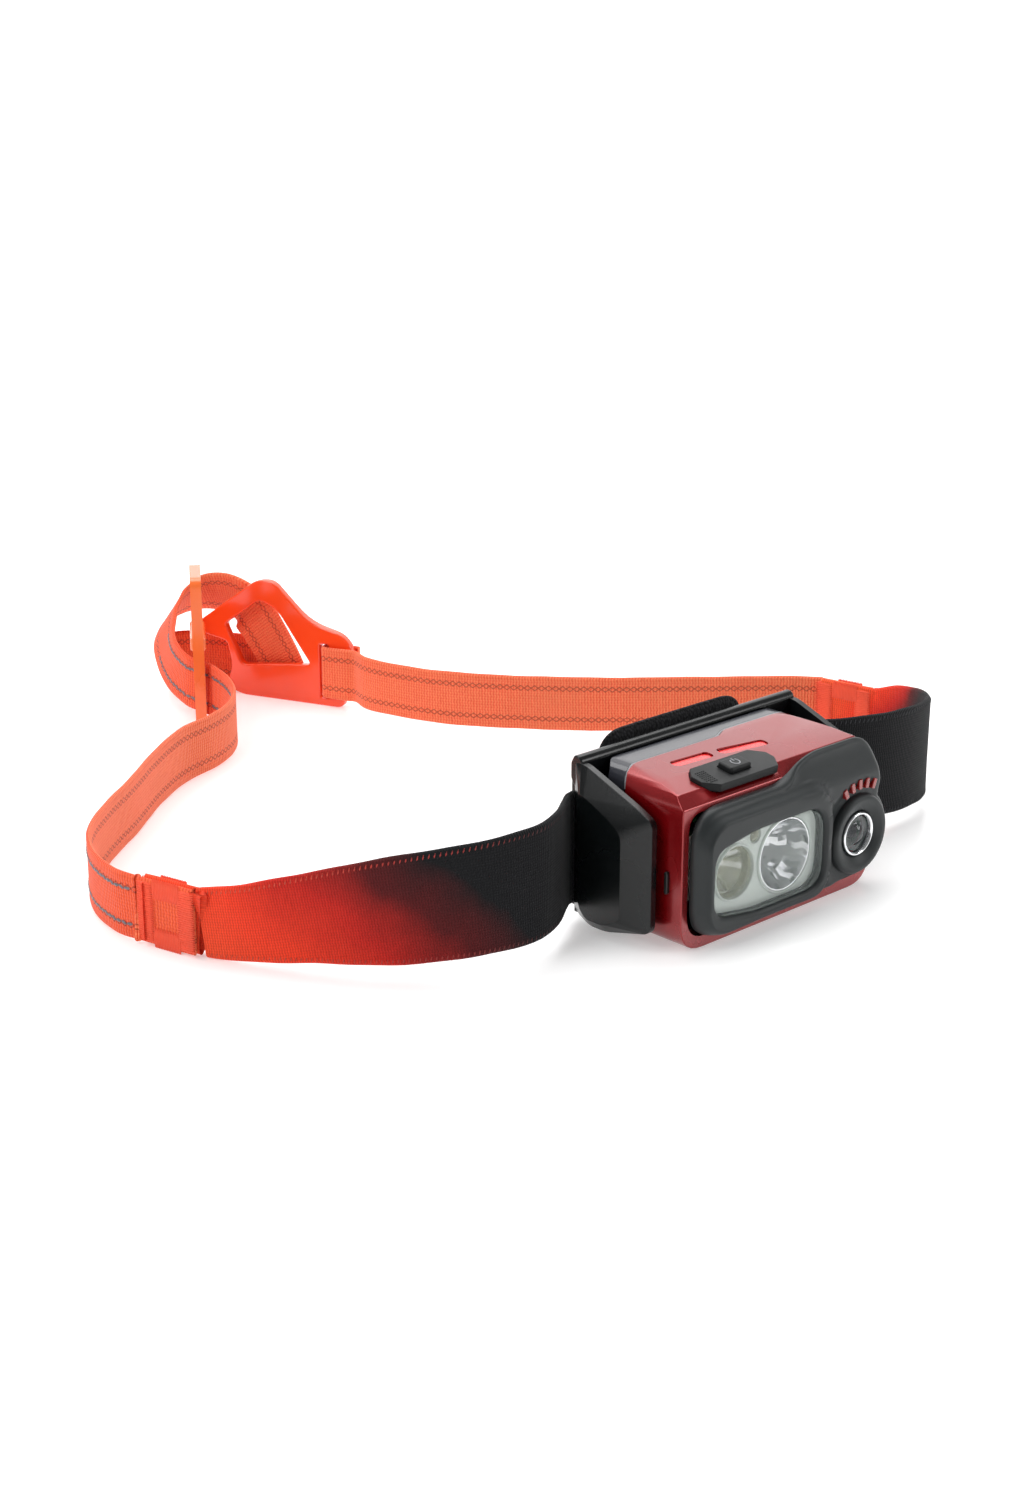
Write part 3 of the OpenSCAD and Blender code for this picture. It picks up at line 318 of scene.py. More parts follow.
PALE_ORANGE = moulded("gloss_pale_orange", srgb(255, 116, 50), 0.24, grain=1200, depth=0.00001, drift=0.06,
        spread=0.05, Coat_Weight=0.5, Coat_Roughness=0.1)
THREAD = moulded("orange_thread", srgb(244, 84, 52), 0.7, grain=3000, depth=0.00004, drift=0.15)
GREY_THREAD = moulded("grey_reflective_thread", srgb(118, 116, 120), 0.38, grain=3000, depth=0.00003,
        drift=0.2, Metallic=0.4)
# the second colour of each webbing is the painted shade in its weave's hollows, and also sets the stitch
# colour
WEB_OUT = webbing("orange_webbing_outside", srgb(255, 102, 52), srgb(228, 66, 32), 0.0075)
WEB_IN = webbing("orange_webbing_inside", srgb(255, 134, 88), srgb(238, 88, 52), 0.0075)
PAD_KNIT = knit_cloth("black_pad_knit", srgb(28, 28, 31), 0.0007)

# ---------------------------------------------------------------- shaping helpers


def rounded(corners, steps=7):
    """Outline from corners (a, b, cut), in millimetres"""
    made = []
    for i, (x, y, cut) in enumerate(corners):
        here = Vector((x, y))
        if cut <= 0:
            made.append(here)
            continue
        before = Vector(corners[i - 1][:2]) - here
        after = Vector(corners[(i + 1) % len(corners)][:2]) - here
        start, end = here + before.normalized() * cut, here + after.normalized() * cut
        made += [start.lerp(here, k / steps).lerp(here.lerp(end, k / steps),
                k / steps) for k in range(steps + 1)]
    return made


def move(bm, matrix):
    bmesh.ops.transform(bm, matrix=matrix, verts=bm.verts)


def face_out(bm):
    bmesh.ops.recalc_face_normals(bm, faces=bm.faces)


def cap_holes(bm):
    bmesh.ops.holes_fill(bm, edges=[e for e in bm.edges if e.is_boundary], sides=0)


def placed(x, y, z, turn, axis="Z"):
    """Matrix that turns a piece about an axis and sets it at a point in millimetres"""
    return Matrix.Translation(Vector((x, y, z)) * MM) @ Matrix.Rotation(turn, 4, axis)


def box_corners(a0, a1, b0, b1, cut):
    return [(a0, b0, cut), (a1, b0, cut), (a1, b1, cut), (a0, b1, cut)]


VIEWS = {
    "front": lambda a, b, d: Vector((a, d, b)),
    "side": lambda a, b, d: Vector((d, a, b)),
    "top": lambda a, b, d: Vector((a, b, d)),
}


def prism(corners, low, high, view="front", steps=7, bevel=0.0, segments=3, into=None):
    """Solid with the given outline in one view, from depth low to high, its sharp edges rounded"""
    bm = bmesh.new()
    place = VIEWS[view]
    face = bm.faces.new([bm.verts.new(place(p.x, p.y, low) * MM) for p in rounded(corners, steps)])
    out = bmesh.ops.extrude_face_region(bm, geom=[face])
    moved = [g for g in out["geom"] if isinstance(g, bmesh.types.BMVert)]
    bmesh.ops.translate(bm, verts=moved, vec=place(0, 0, high - low) * MM)
    face_out(bm)
    if bevel:
        round_edges(bm, bevel, segments)
    return merge(into, bm)


def round_edges(bm, width, segments=3, angle=35, keep=None):
    sharp = [e for e in bm.edges if e.is_manifold and e.calc_face_angle(0) > math.radians(angle)]
    if keep:
        sharp = [e for e in sharp if keep(e)]
    bmesh.ops.bevel(bm, geom=sharp, offset=width * MM, segments=segments, profile=0.5, affect="EDGES",
                    offset_type="OFFSET", clamp_overlap=True, material=-1)


def merge(into, bm):
    """Puts bm into another bmesh, as a separate closed shell of the same piece"""
    if into is None:
        return bm
    mesh = bpy.data.meshes.new("part")
    bm.to_mesh(mesh)
    bm.free()
    into.from_mesh(mesh)
    bpy.data.meshes.remove(mesh)
    return into


def spun(centre, profile, steps=64, closed=True, into=None):
    """Turns a profile of (radius, y) in millimetres about a line along Y through centre (x, z)"""
    bm = bmesh.new()
    x, z = centre
    verts = [bm.verts.new(Vector((x + r, y, z)) * MM) for r, y in profile]
    pairs = list(zip(verts, verts[1:] + ([verts[0]] if closed else [])))
    edges = [bm.edges.new(pair) for pair in (pairs if closed else pairs[:len(verts) - 1])]
    bmesh.ops.spin(bm, geom=verts + edges, cent=Vector((x, 0, z)) * MM, axis=(0, 1, 0), dvec=(0, 0, 0),
                   angle=2 * math.pi, steps=steps, use_merge=True, use_duplicate=False)
    bmesh.ops.remove_doubles(bm, verts=bm.verts, dist=1e-7)
    face_out(bm)
    return merge(into, bm)


def loft(rows, ring=True, tube=False, uvs=None):
    """Grid laid through rows of points in metres

    ring joins each row's ends, and tube joins the last row to the first.
    """
    bm = bmesh.new()
    across = len(rows[0]) - (0 if ring else 1)
    along = len(rows) - (0 if tube else 1)
    made = bmesh.ops.create_grid(bm, x_segments=across, y_segments=along, size=1, calc_uvs=True)
    uv_layer = bm.loops.layers.uv.verify()
    for vert in made["verts"]:
        i, j = round((vert.co.x + 1) / 2 * across), round((vert.co.y + 1) / 2 * along)
        place = rows[j % len(rows)][i % len(rows[0])]
        if uvs:
            for loop in vert.link_loops:
                loop[uv_layer].uv = uvs(j, i)
        vert.co = place
    bmesh.ops.remove_doubles(bm, verts=bm.verts, dist=1e-7)
    return bm


def close_ends(bm):
    cap_holes(bm)
    face_out(bm)


def solid(name, bm, finishes, body, nodes=(), smooth=38, weighted=True):
    """Turns a bmesh into a finished piece that rides on its body"""
    mesh = bpy.data.meshes.new(name)
    bm.to_mesh(mesh)
    bm.free()
    for made in finishes:
        mesh.materials.append(made.material)
    mesh.shade_smooth()
    mesh.set_sharp_from_angle(angle=math.radians(smooth))
    piece = bpy.data.objects.new(name, mesh)
    scene.collection.objects.link(piece)
    if weighted:
        corner = piece.modifiers.new("corners", "WEIGHTED_NORMAL")
        corner.keep_sharp = True
    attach(piece, body)
    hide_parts(*nodes)
    return piece


def carve(bm, cutters):
    """bm with each cutter taken away from it"""
    target = bpy.data.objects.new("blank", bpy.data.meshes.new("blank"))
    bm.to_mesh(target.data)
    bm.free()
    scene.collection.objects.link(target)
    helpers = []
    for cutter in cutters:
        helper = bpy.data.objects.new("cutter", bpy.data.meshes.new("cutter"))
        cutter.to_mesh(helper.data)
        cutter.free()
        scene.collection.objects.link(helper)
        mod = target.modifiers.new("cut", "BOOLEAN")
        mod.operation = "DIFFERENCE"
        mod.solver = "EXACT"
        mod.object = helper
        helpers.append(helper)
    evaluated = target.evaluated_get(bpy.context.evaluated_depsgraph_get())
    result = bmesh.new()
    result.from_mesh(evaluated.to_mesh())
    evaluated.to_mesh_clear()
    for used in [target, *helpers]:
        mesh = used.data
        bpy.data.objects.remove(used)
        bpy.data.meshes.remove(mesh)
    bmesh.ops.remove_doubles(result, verts=result.verts, dist=2e-6)
    bmesh.ops.dissolve_degenerate(result, edges=result.edges, dist=1e-6)
    return result


def rod(centre, radius, y0, y1, steps=64):
    return spun(centre, [(0, y0), (radius, y0), (radius, y1), (0, y1)], steps, closed=False)


def mid(node):
    """Centre of a frame node seen from the front, in millimetres"""
    low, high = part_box(node)
    return (low.x + high.x) / 2 / MM, (low.z + high.z) / 2 / MM


# ---------------------------------------------------------------- lamp layout, in millimetres
BODY_LEFT, BODY_RIGHT, BODY_H = -33.0, 30.0, 37.0
SHELL_FRONT = -15.2
SEAM = [(-34, 1.2), (-31, 3.2), (-28, 4.1), (-2, 4.1), (4, 6.4), (31, 6.4)]
SEAM_CUTS = (-31, -28, -2, -0.5, 1, 2.5, 4)
POD = mid("sensor_ring")
POD_EDGE, POD_EDGE_R = (24.3, 13.7), 9.6
MAIN = mid("main_reflector")
FLOOD = mid("flood_optic")
DECK_SLOPE = math.radians(10)
WINDOW_MID = (-9.6, 15.35)
FACETS, RIB_POINTS = 30, 144


def ring_point(centre, radius, angle):
    return centre[0] + radius * math.cos(angle), centre[1] + radius * math.sin(angle)


def bowl_row(centre, radius, depth, count, offset=0.0):
    """Ring of points in metres, at a depth behind the lamp's front; depth may follow the point's number"""
    made = []
    for i in range(count):
        x, z = ring_point(centre, radius, (i + offset) * 2 * math.pi / count)
        made.append(Vector((x, depth(i) if callable(depth) else depth, z)) * MM)
    return made


def seam_at(x):
    for (xa, ya), (xb, yb) in zip(SEAM, SEAM[1:]):
        if x <= xb:
            share = max(0.0, (x - xa) / (xb - xa))
            eased = share * share * (3 - 2 * share) if xa == -2 else share
            return ya + (yb - ya) * eased
    return SEAM[-1][1]


def window_corners(grow):
    return [(-27.3 - grow, 8 - grow, 4), (-13.9 - grow, 6 - grow, 3), (8.1 + grow, 6 - grow, 6),
            (8.1 + grow, 24.7 + grow, 6),
            (-13.9 - grow, 24.7 + grow, 3), (-27.3 - grow, 22.7 + grow, 4)]


def slices(bm, xs):
    """Adds lines across the piece at the given places along X"""
    for x in xs:
        bmesh.ops.bisect_plane(bm, geom=bm.verts[:] + bm.edges[:] + bm.faces[:], dist=1e-7,
                plane_co=(x * MM, 0, 0), plane_no=(1, 0, 0))


def trim(bm, a, b):
    """Cuts off what is above the line from a to b in the side view (y, z)"""
    along = Vector((0, b[0] - a[0], b[1] - a[1])).normalized()
    bmesh.ops.bisect_plane(bm, geom=bm.verts[:] + bm.edges[:] + bm.faces[:], dist=1e-7,
            plane_co=Vector((0, a[0], a[1])) * MM,
                           plane_no=Vector((1, 0, 0)).cross(along), clear_outer=True)
    cap_holes(bm)


def shell_solid():
    """Outside of the red shell as one closed solid"""
    rear = 8.0
    bm = prism([(BODY_LEFT, 0, 7), (BODY_LEFT, BODY_H, 6), (BODY_RIGHT - 3, BODY_H, 7), (BODY_RIGHT, 20, 5),
            (BODY_RIGHT, 0, 7)], SHELL_FRONT, rear)
    trim(bm, (-15.2, 32.3), (-12.5, 34.9))
    trim(bm, (-12.5, 34.9), (-6, 36.05))
    trim(bm, (-6, 36.05), (4, 37))
    slices(bm, SEAM_CUTS)
    for v in bm.verts:
        if v.co.y > (rear - 0.1) * MM:
            v.co.y = (seam_at(v.co.x / MM) - 0.25) * MM
    face_out(bm)
    return bm


def on_deck():
    """The power button's sloping seat"""
    return placed(-12.5, -10.6, 34.9 + 1.9 * math.tan(DECK_SLOPE), DECK_SLOPE, "X")


PAD_OUTLINE = [(-11.8, -1.6), (-8.8, -4.4), (9.5, -4.4), (12, -1), (12, 1.6), (9, 4.4), (-9.3, 4.4),
        (-11.8, 1.6)]
SLOTS = [((-15.8, -1.6), 11.5, -3), ((-1.2, -3.2), 13.5, -9)]


def slot_prism(spot, length, turn, inset, low, high, bevel=0.0):
    """Round-ended prism for a deck slot"""
    half = length / 2 - inset
    bm = prism([(-half, -1.5 + inset, 1.4 - inset), (half, -1.5 + inset, 1.4 - inset),
            (half, 1.5 - inset, 1.4 - inset),
                (-half, 1.5 - inset, 1.4 - inset)], low, high, "top", bevel=bevel, segments=2)
    deck = 36.05 + (spot[1] + 6) * 0.095
    tilt = placed(spot[0], spot[1], deck, math.radians(turn)) @ Matrix.Rotation(math.radians(5.4), 4, "X")
    move(bm, tilt)
    return bm


def red_shell():
    bm = shell_solid()
    front_edge = lambda e: min(v.co.y for v in e.verts) < -12 * MM and not any(v.co.y > 0 for v in e.verts)
    round_edges(bm, 2.5, 5, angle=22, keep=front_edge)
    # hollow, open at the front behind the bezel and at the rear along the seam
    inner = prism([(BODY_LEFT + 1.8, 2.6, 6), (BODY_LEFT + 1.8, 31, 4), (13, 31, 3), (25, 31, 4),
            (BODY_RIGHT - 1.8, 20, 4), (BODY_RIGHT - 1.8, 2.6, 6)], -18, 12)
    cutters = [inner]
    room = prism([(BODY_LEFT + 1.8, 2, 6), (BODY_LEFT + 1.8, 35.2, 5), (BODY_RIGHT - 4.5, 35.2, 6),
            (BODY_RIGHT - 1.8, 20, 4), (BODY_RIGHT - 1.8, 2, 6)], -11, 12)
    trim(room, (-12.5, 33.1), (-6, 34.25))
    trim(room, (-6, 34.25), (4, 35.2))
    cutters.append(room)
    barrel = prism([(1.9, -1, 0), (20, -1, 0), (20, 8.6, 0), (1.9, 8.6, 0)], -60, 60, "side")
    cutters.append(barrel)
    recess = prism([(x * 1.012, y * 1.03, 0.5) for x, y in PAD_OUTLINE], -1, 8, "top")
    move(recess, on_deck())
    cutters.append(recess)
    port = prism(box_corners(-11.8 - 1.45, -11.8 + 1.45, 12.1, 19.9, 0.6), 26, 40, "side")
    cutters.append(port)
    for spot, length, turn in SLOTS:
        cutters.append(slot_prism(spot, length, turn, 0, -0.9, 4))
    bm = carve(bm, cutters)
    piece = solid("red_shell", bm, [RED], "lamp", ["housing"], weighted=False)
    edges = piece.modifiers.new("soft_edges", "BEVEL")
    edges.width = 0.22 * MM
    edges.segments = 2
    edges.limit_method = "ANGLE"
    edges.angle_limit = math.radians(40)
    corner = piece.modifiers.new("corners", "WEIGHTED_NORMAL")
    corner.keep_sharp = True
    inlay = bmesh.new()
    for spot, length, turn in SLOTS:
        inlay = merge(inlay, slot_prism(spot, length, turn, 0.12, -0.85, -0.4, bevel=0.12))
    solid("deck_slot_inlays", inlay, [BRIGHT_RED], "lamp", [])
    nib = prism(box_corners(-11.7, -10.7, 13, 18, 0.45), -33.8, -32.5, "side", bevel=0.25)
    solid("arm_stop_nib", nib, [BLACK], "lamp", [])


# ---------------------------------------------------------------- bezel


def smooth_step(t):
    t = max(0.0, min(1.0, t))
    return t * t * (3 - 2 * t)


def box_distance(x, z, x0, x1, z0, z1, r):
    """Distance outside a rounded box, negative inside"""
    qx, qz = abs(x - (x0 + x1) / 2) - (x1 - x0) / 2 + r, abs(z - (z0 + z1) / 2) - (z1 - z0) / 2 + r
    return math.hypot(max(qx, 0), max(qz, 0)) + min(max(qx, qz), 0) - r


def bezel_height(x, z):
    """How far the bezel's face stands in front of the lamp's middle plane"""
    rim = smooth_step(-box_distance(x, z, -31, 12.2, 2.2, 30.4, 8) / 1.9)
    pod_r = math.hypot(x - POD[0], z - POD[1])
    dish = smooth_step((13.8 - pod_r) / 3.2)
    shoulder = smooth_step((z - 27) / 8) * smooth_step((x + 4) / 7)
    return 17.9 + 2.1 * rim * (1 - 0.5 * shoulder) - 0.9 * dish * (1 - rim) - 1.7 * shoulder


def reach(outline, angle):
    """Distance from the window's middle to an outline, along a direction in the front view"""
    dx, dz = math.cos(angle), math.sin(angle)
    best = 0.0
    for a, b in zip(outline, outline[1:] + outline[:1]):
        ax, az = a[0] - WINDOW_MID[0], a[1] - WINDOW_MID[1]
        bx, bz = b[0] - WINDOW_MID[0], b[1] - WINDOW_MID[1]
        ca, cb = ax * dz - az * dx, bx * dz - bz * dx
        if ca * cb <= 0 and ca != cb:
            share = ca / (ca - cb)
            far = (ax + share * (bx - ax)) * dx + (az + share * (bz - az)) * dz
            best = max(best, far)
    return best


def even_points(points, count):
    """Points at even steps round a closed line"""
    line = points + points[:1]
    lengths = [(b - a).length for a, b in zip(line, line[1:])]
    total, made, i, done = sum(lengths), [], 0, 0.0
    for k in range(count):
        want = total * k / count
        while done + lengths[i] < want:
            done += lengths[i]
            i += 1
        made.append(line[i].lerp(line[i + 1], (want - done) / lengths[i]))
    return made


def bezel_face():
    outer = rounded([(-30.7, 2.5, 8), (30.8, 3.5, 7), (30.8, 26, 4), (26.5, 36.2, 6), (5, 36.2, 5),
            (-2.6, 31.6, 4), (-30.7, 31.6, 8)], 12)
    circle = [Vector(ring_point(POD_EDGE, POD_EDGE_R, a * math.pi / 48)) for a in range(96)]
    window = rounded(window_corners(0), 12)
    mid_point = Vector(WINDOW_MID)
    ray = lambda a: Vector((math.cos(a), math.sin(a)))
    sweep = []
    for k in range(1440):
        angle = 2 * math.pi * k / 1440
        sweep.append(mid_point + ray(angle) * max(reach(outer, angle), reach(circle, angle)))
    rim = even_points(sweep, 320)
    angles = [math.atan2(p.y - mid_point.y, p.x - mid_point.x) for p in rim]
    inner = [mid_point + ray(a) * reach(window, a) for a in angles]
    roll = 2.0
    rows = []

    def row(spot, depth):
        rows.append([Vector((p.x, depth(p, d), p.y)) * MM for p,
                d in (spot(a, b) for a, b in zip(inner, rim))])

    def from_window(d):
        return lambda a, b: (a + (b - a).normalized() * d, (b - a).length - d)

    def from_rim(d):
        return lambda a, b: (b - (b - a).normalized() * d, d)

    def between(share):
        def spot(a, b):
            span = (b - a).length
            d = 1.2 + (span - roll - 1.2) * share
            return a + (b - a).normalized() * d, span - d
        return spot

    def face(p, d):
        drop = roll - math.sqrt(max(0.0, roll * roll - (roll - d) ** 2)) if d < roll else 0.0
        full = bezel_height(p.x, p.y)
        return -(full - drop * min(1.0, (full - 15.5) / roll))

    for d, sunk in ((0, 0.75), (0.25, 0.45), (0.6, 0.2), (0.95, 0.05)):
        row(from_window(d), lambda p, e, sunk=sunk: face(p, e) + sunk)
    for k in range(0, 15):
        row(between(k / 15), face)
    for d in (2.0, 1.55, 1.15, 0.8, 0.5, 0.25, 0.08, 0):
        row(from_rim(d), face)
    row(from_rim(0), lambda p, d: -15.3)
    row(from_rim(1.5), lambda p, d: -15.3)
    row(from_rim(1.6), lambda p, d: -16.2)
    row(from_window(1.25), lambda p, d: -16.4)
    row(from_window(1.15), lambda p, d: -18.15)
    row(from_window(0), lambda p, d: -18.15)
    bm = loft(rows, ring=True, tube=True)
    face_out(bm)
    bm = carve(bm, [rod(POD, 7.2, -25, -10)])
    solid("bezel_face", bm, [SOFT_GREY], "lamp", ["bezel"], smooth=42)
    collar = spun(POD, [(9.5, -15.3), (9.5, -16.7), (9.3, -17.7), (8.95, -18.25), (8.5, -18.5), (7.9, -18.5),
            (7.2, -18.3), (6.4, -17.9),
                        (5.7, -17.5), (5.35, -17.2), (5.2, -16.6), (5.2, -15.3)], 96)
    solid("pod_collar", collar, [SOFT_GREY], "lamp", [], smooth=50)
    bars = bmesh.new()
    for i in range(5):
        turn = math.radians(68 + 12 * i)
        x, z = ring_point(POD, 11.9, turn)
        bar = prism(box_corners(-0.6, 0.6, -1.2, 1.2, 0.3), -18.1, -15.6, "front", bevel=0.25)
        place = placed(x, 0, z, math.pi / 2 - turn, "Y")
        move(bar, place)
        bars = merge(bars, bar)
    solid("gauge_marks", bars, [LIGHT_PIPE], "lamp", ["gauge_bars"])


# ---------------------------------------------------------------- optics


def optics():
    pane = prism(window_corners(-0.14), -19.5, -18.0, bevel=0.35)
    solid("clear_cover_pane", pane, [CLEAR], "lamp", ["lens"])
    tray = prism(window_corners(0.8), -17.1, -15.9, steps=10)
    tray = carve(tray, [rod(MAIN, 8.4, -30, 0), rod(FLOOD, 5.9, -30, 0),
            rod(mid("red_led"), 1.7, -30, 0, 32)])
    round_edges(tray, 0.2, 2, angle=50)
    for spot, radius in ((MAIN, 8.4), (FLOOD, 5.9)):
        tray = spun(spot, [(radius, -17.0), (radius + 0.05, -17.5), (radius + 0.3, -17.6),
                (radius + 0.5, -17.45), (radius + 0.6, -17.0)], 72, into=tray)
    tray = spun(mid("red_led"), [(1.75, -17.0), (1.8, -17.3), (2.1, -17.35), (2.5, -17.0)], 32, into=tray)
    solid("optic_tray", tray, [PALE], "lamp", ["optic_carrier"])
    # faceted bowl
    rows = []
    bowl = [(8.0, -17.35), (7.5, -16.2), (6.8, -14.6), (5.9, -12.9), (4.8, -11.3), (3.6, -10.0), (2.5, -9.0)]
    for k, (r, y) in enumerate(bowl):
        rows.append(bowl_row(MAIN, r, y, FACETS, 0.5 * (k % 2)))
    wall = [(8.25, -17.35), (8.3, -15.5), (6.2, -10.2), (2.6, -8.8)]
    for r, y in reversed(wall):
        rows.append(bowl_row(MAIN, r, y, FACETS))
    bowl_mesh = loft(rows, ring=True, tube=True)
    face_out(bowl_mesh)
    solid("faceted_reflector", bowl_mesh, [CHROME], "lamp", ["main_reflector"], smooth=5,
            weighted=False)
    # ribbed flood optic: fine radial ribs on a shallow dish
    rows = []
    for r in (0.05, 1.2, 2.0, 2.8, 3.6, 4.4, 5.0, 5.4, 5.7):
        dip = 1.5 * (1 - (r / 5.8) ** 2) + 0.1
        ripple = 0.16 * min(1.0, r / 2.5)
        ribs = lambda i, dip=dip, ripple=ripple: -17.05 + dip + ripple * math.cos(i * math.pi / 2)
        rows.append(bowl_row(FLOOD, r, ribs, RIB_POINTS))
    for r, y in ((5.75, -15.6), (3.3, -11.4), (0.05, -11.4)):
        rows.append(bowl_row(FLOOD, r, y, RIB_POINTS))
    dish = loft(rows, ring=True)
    close_ends(dish)
    solid("ribbed_flood_optic", dish, [FLOOD_GLASS], "lamp", ["flood_optic"], smooth=60,
            weighted=False)
    halo = spun(FLOOD, [(1.3, -11.2), (3.0, -11.6), (5.0, -14.9), (5.2, -14.9), (3.4, -10.6), (1.3, -10.4)],
            48)
    solid("flood_reflector_cup", halo, [CHROME], "lamp", [], smooth=50)
    # sensor pod
    ring = spun(POD, [(5.1, -15.4), (5.15, -17.4), (5.05, -17.75), (4.85, -17.9), (4.6, -17.85),
            (4.4, -17.5), (4.25, -16.6), (4.25, -15.4)], 72)
    solid("pod_chrome_ring", ring, [CHROME], "lamp", ["sensor_ring"], smooth=50)
    dome = spun(POD, [(0, -18.35), (0.7, -18.3), (1.3, -18.1), (1.9, -17.75), (2.35, -17.35), (2.6, -17.0),
            (3.1, -16.9), (4.1, -16.95), (4.15, -16.6), (0, -16.4)],
                48, closed=False)
    solid("sensor_dome", dome, [SMOKED], "lamp", ["sensor_lens"], smooth=60)


# ---------------------------------------------------------------- power button, port cover


def controls():
    seat = on_deck()
    pad = prism([(x, y, 0.25) for x, y in PAD_OUTLINE], -0.9, 1.0, "top", bevel=0.25)
    hole = prism(box_corners(-3.45, 3.45, -2.25, 2.25, 0.7), -5, 5, "top")
    pad = carve(pad, [hole])
    for row in range(7):
        for column in range(5):
            spot = Vector((-10.6 + 0.62 * column + 0.08 * row, -2.4 + 0.72 * row, 1.0)) * MM
            if spot.x > -11.2 * MM + abs(spot.y) * 0.35:
                bmesh.ops.create_icosphere(pad, subdivisions=1, radius=0.2 * MM,
                        matrix=Matrix.Translation(spot))
    move(pad, seat)
    solid("soft_button_pad", pad, [RUBBER], "lamp", ["button_pad"])
    nub = prism(box_corners(-3.3, 3.3, -2.1, 2.1, 0.8), -0.1, 2.3, "top", bevel=0.55, segments=4)
    stem = prism(box_corners(-1, 1, -1, 1, 0.6), -3, 0, "top")
    nub = merge(nub, stem)
    move(nub, seat)
    solid("power_button_nub", nub, [RUBBER], "button", ["power_button"])
    # plain on/off mark, standing slightly proud
    arc = [math.radians(a) for a in range(125, 416, 15)]
    rows = []
    for a in arc:
        c = Vector((1.05 * math.cos(a), 1.05 * math.sin(a), 2.32))
        out = Vector((math.cos(a), math.sin(a), 0))
        rows.append([(c + out * 0.17 * math.cos(t) + Vector((0, 0,
                0.1 * math.sin(t)))) * MM for t in [k * math.pi / 3 for k in range(6)]])
    mark = loft(rows, ring=True)
    close_ends(mark)
    mark = merge(mark, prism(box_corners(-0.16, 0.16, 0.25, 1.35, 0.1), 2.25, 2.42, "top", bevel=0.05))
    move(mark, seat)
    solid("button_mark", mark, [BEAD], "button", [])
    low, high = (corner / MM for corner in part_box("port_cover"))
    flap = prism(box_corners(low.y, high.y, low.z, high.z, 0.5), low.x, high.x, "side", bevel=0.3)
    for z in (low.z + 3.2, high.z - 2.2):
        flap = prism(box_corners(low.y + 0.7, high.y - 0.7, z, z + 0.5, 0.2), high.x - 0.2, high.x + 0.15,
                "side", bevel=0.08, into=flap)
    solid("rubber_port_flap", flap, [RUBBER], "cover", ["port_cover"])


# ---------------------------------------------------------------- battery top and bracket


def seam_strip(x0, x1, z0, z1, front, back, bevel):
    """Strip across the lamp's top whose front follows the seam"""
    bm = prism([(x0, z0, 0), (x0, z1, 4.5), (x1 - 1.5, z1, 5), (x1, z0, 0)], 4, 8)
    slices(bm, SEAM_CUTS)
    for v in bm.verts:
        at_front = v.co.y < 6 * MM
        v.co.y = (front if at_front else back)(v.co.x / MM) * MM
    face_out(bm)
    round_edges(bm, bevel, 3, angle=50)
    return bm


def battery():
    low, high = (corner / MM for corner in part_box("battery_cap"))
    rear = lambda x: 10.5 - 2.0 * smooth_step((-28 - x) / 3) - 1.6 * smooth_step((x - 22) / 6)
    cap = seam_strip(low.x, high.x, low.z, high.z, lambda x: seam_at(x) + 0.62, rear, 0.45)
    solid("battery_cap_cover", cap, [BATTERY], "battery", ["battery_cap"])
    bead = seam_strip(low.x, high.x, low.z + 0.9, high.z, lambda x: seam_at(x) + 0.06,
            lambda x: seam_at(x) + 0.56, 0.18)
    solid("seam_bead", bead, [BEAD], "battery", ["battery_bead"])


def bracket():
    plate_y, plate_back = 11.2, 13.2
    arm_corners = [(-9.6, 4, 2), (-9.6, 29, 1.5), (-5.6, 31, 2), (10.2, 37, 1.5), (13.2, 37, 1),
            (13.2, 3.2, 2), (8.5, 0.6, 1.5), (3.5, 0.6, 2)]
    frame_mesh = prism(box_corners(-36.4, 33.4, 2.5, 32, 0.3), plate_y, plate_back, bevel=0.25)
    panel = [(-2.6, 5.5, 1.5), (-2.6, 25, 2), (0.9, 27.4, 2), (8.8, 31, 1.2), (9.8, 31, 0.4),
            (9.8, 5.2, 1.5), (7.5, 3, 1), (2.5, 3, 1.5)]
    for x, side in ((-34.8, -1), (31.8, 1)):
        frame_mesh = merge(frame_mesh, arm(arm_corners, panel, x, side))
    bar = [(11.2, 31, 0.5), (11.2, 37.4, 0.6), (12.2, 38.4, 0.5), (13.6, 38.4, 0.6), (14.6, 36.6, 0.6),
            (14.6, 33, 0.6), (13.2, 31, 0.3)]
    frame_mesh = prism(bar, -36.4, 33.4, "side", bevel=0.55, segments=4, into=frame_mesh)
    for x0, x1 in ((-34.83, -33.6), (30.6, 31.83)):
        frame_mesh = merge(frame_mesh, along_x(rod((6.5, 4.2), 3.0, x0, x1, 48)))
    for x in (-33.8, 27.8):
        frame_mesh = prism(box_corners(x, x + 3, 2.5, 32, 0.4), 15.4, 16.9, bevel=0.3, into=frame_mesh)
        for z0, z1 in ((2.5, 3.65), (30.35, 32)):
            frame_mesh = prism(box_corners(x, x + 3, z0, z1, 0.2), 13.1, 16.0, bevel=0.15, into=frame_mesh)
    solid("bracket_frame", frame_mesh, [BLACK], "band", ["bracket"])


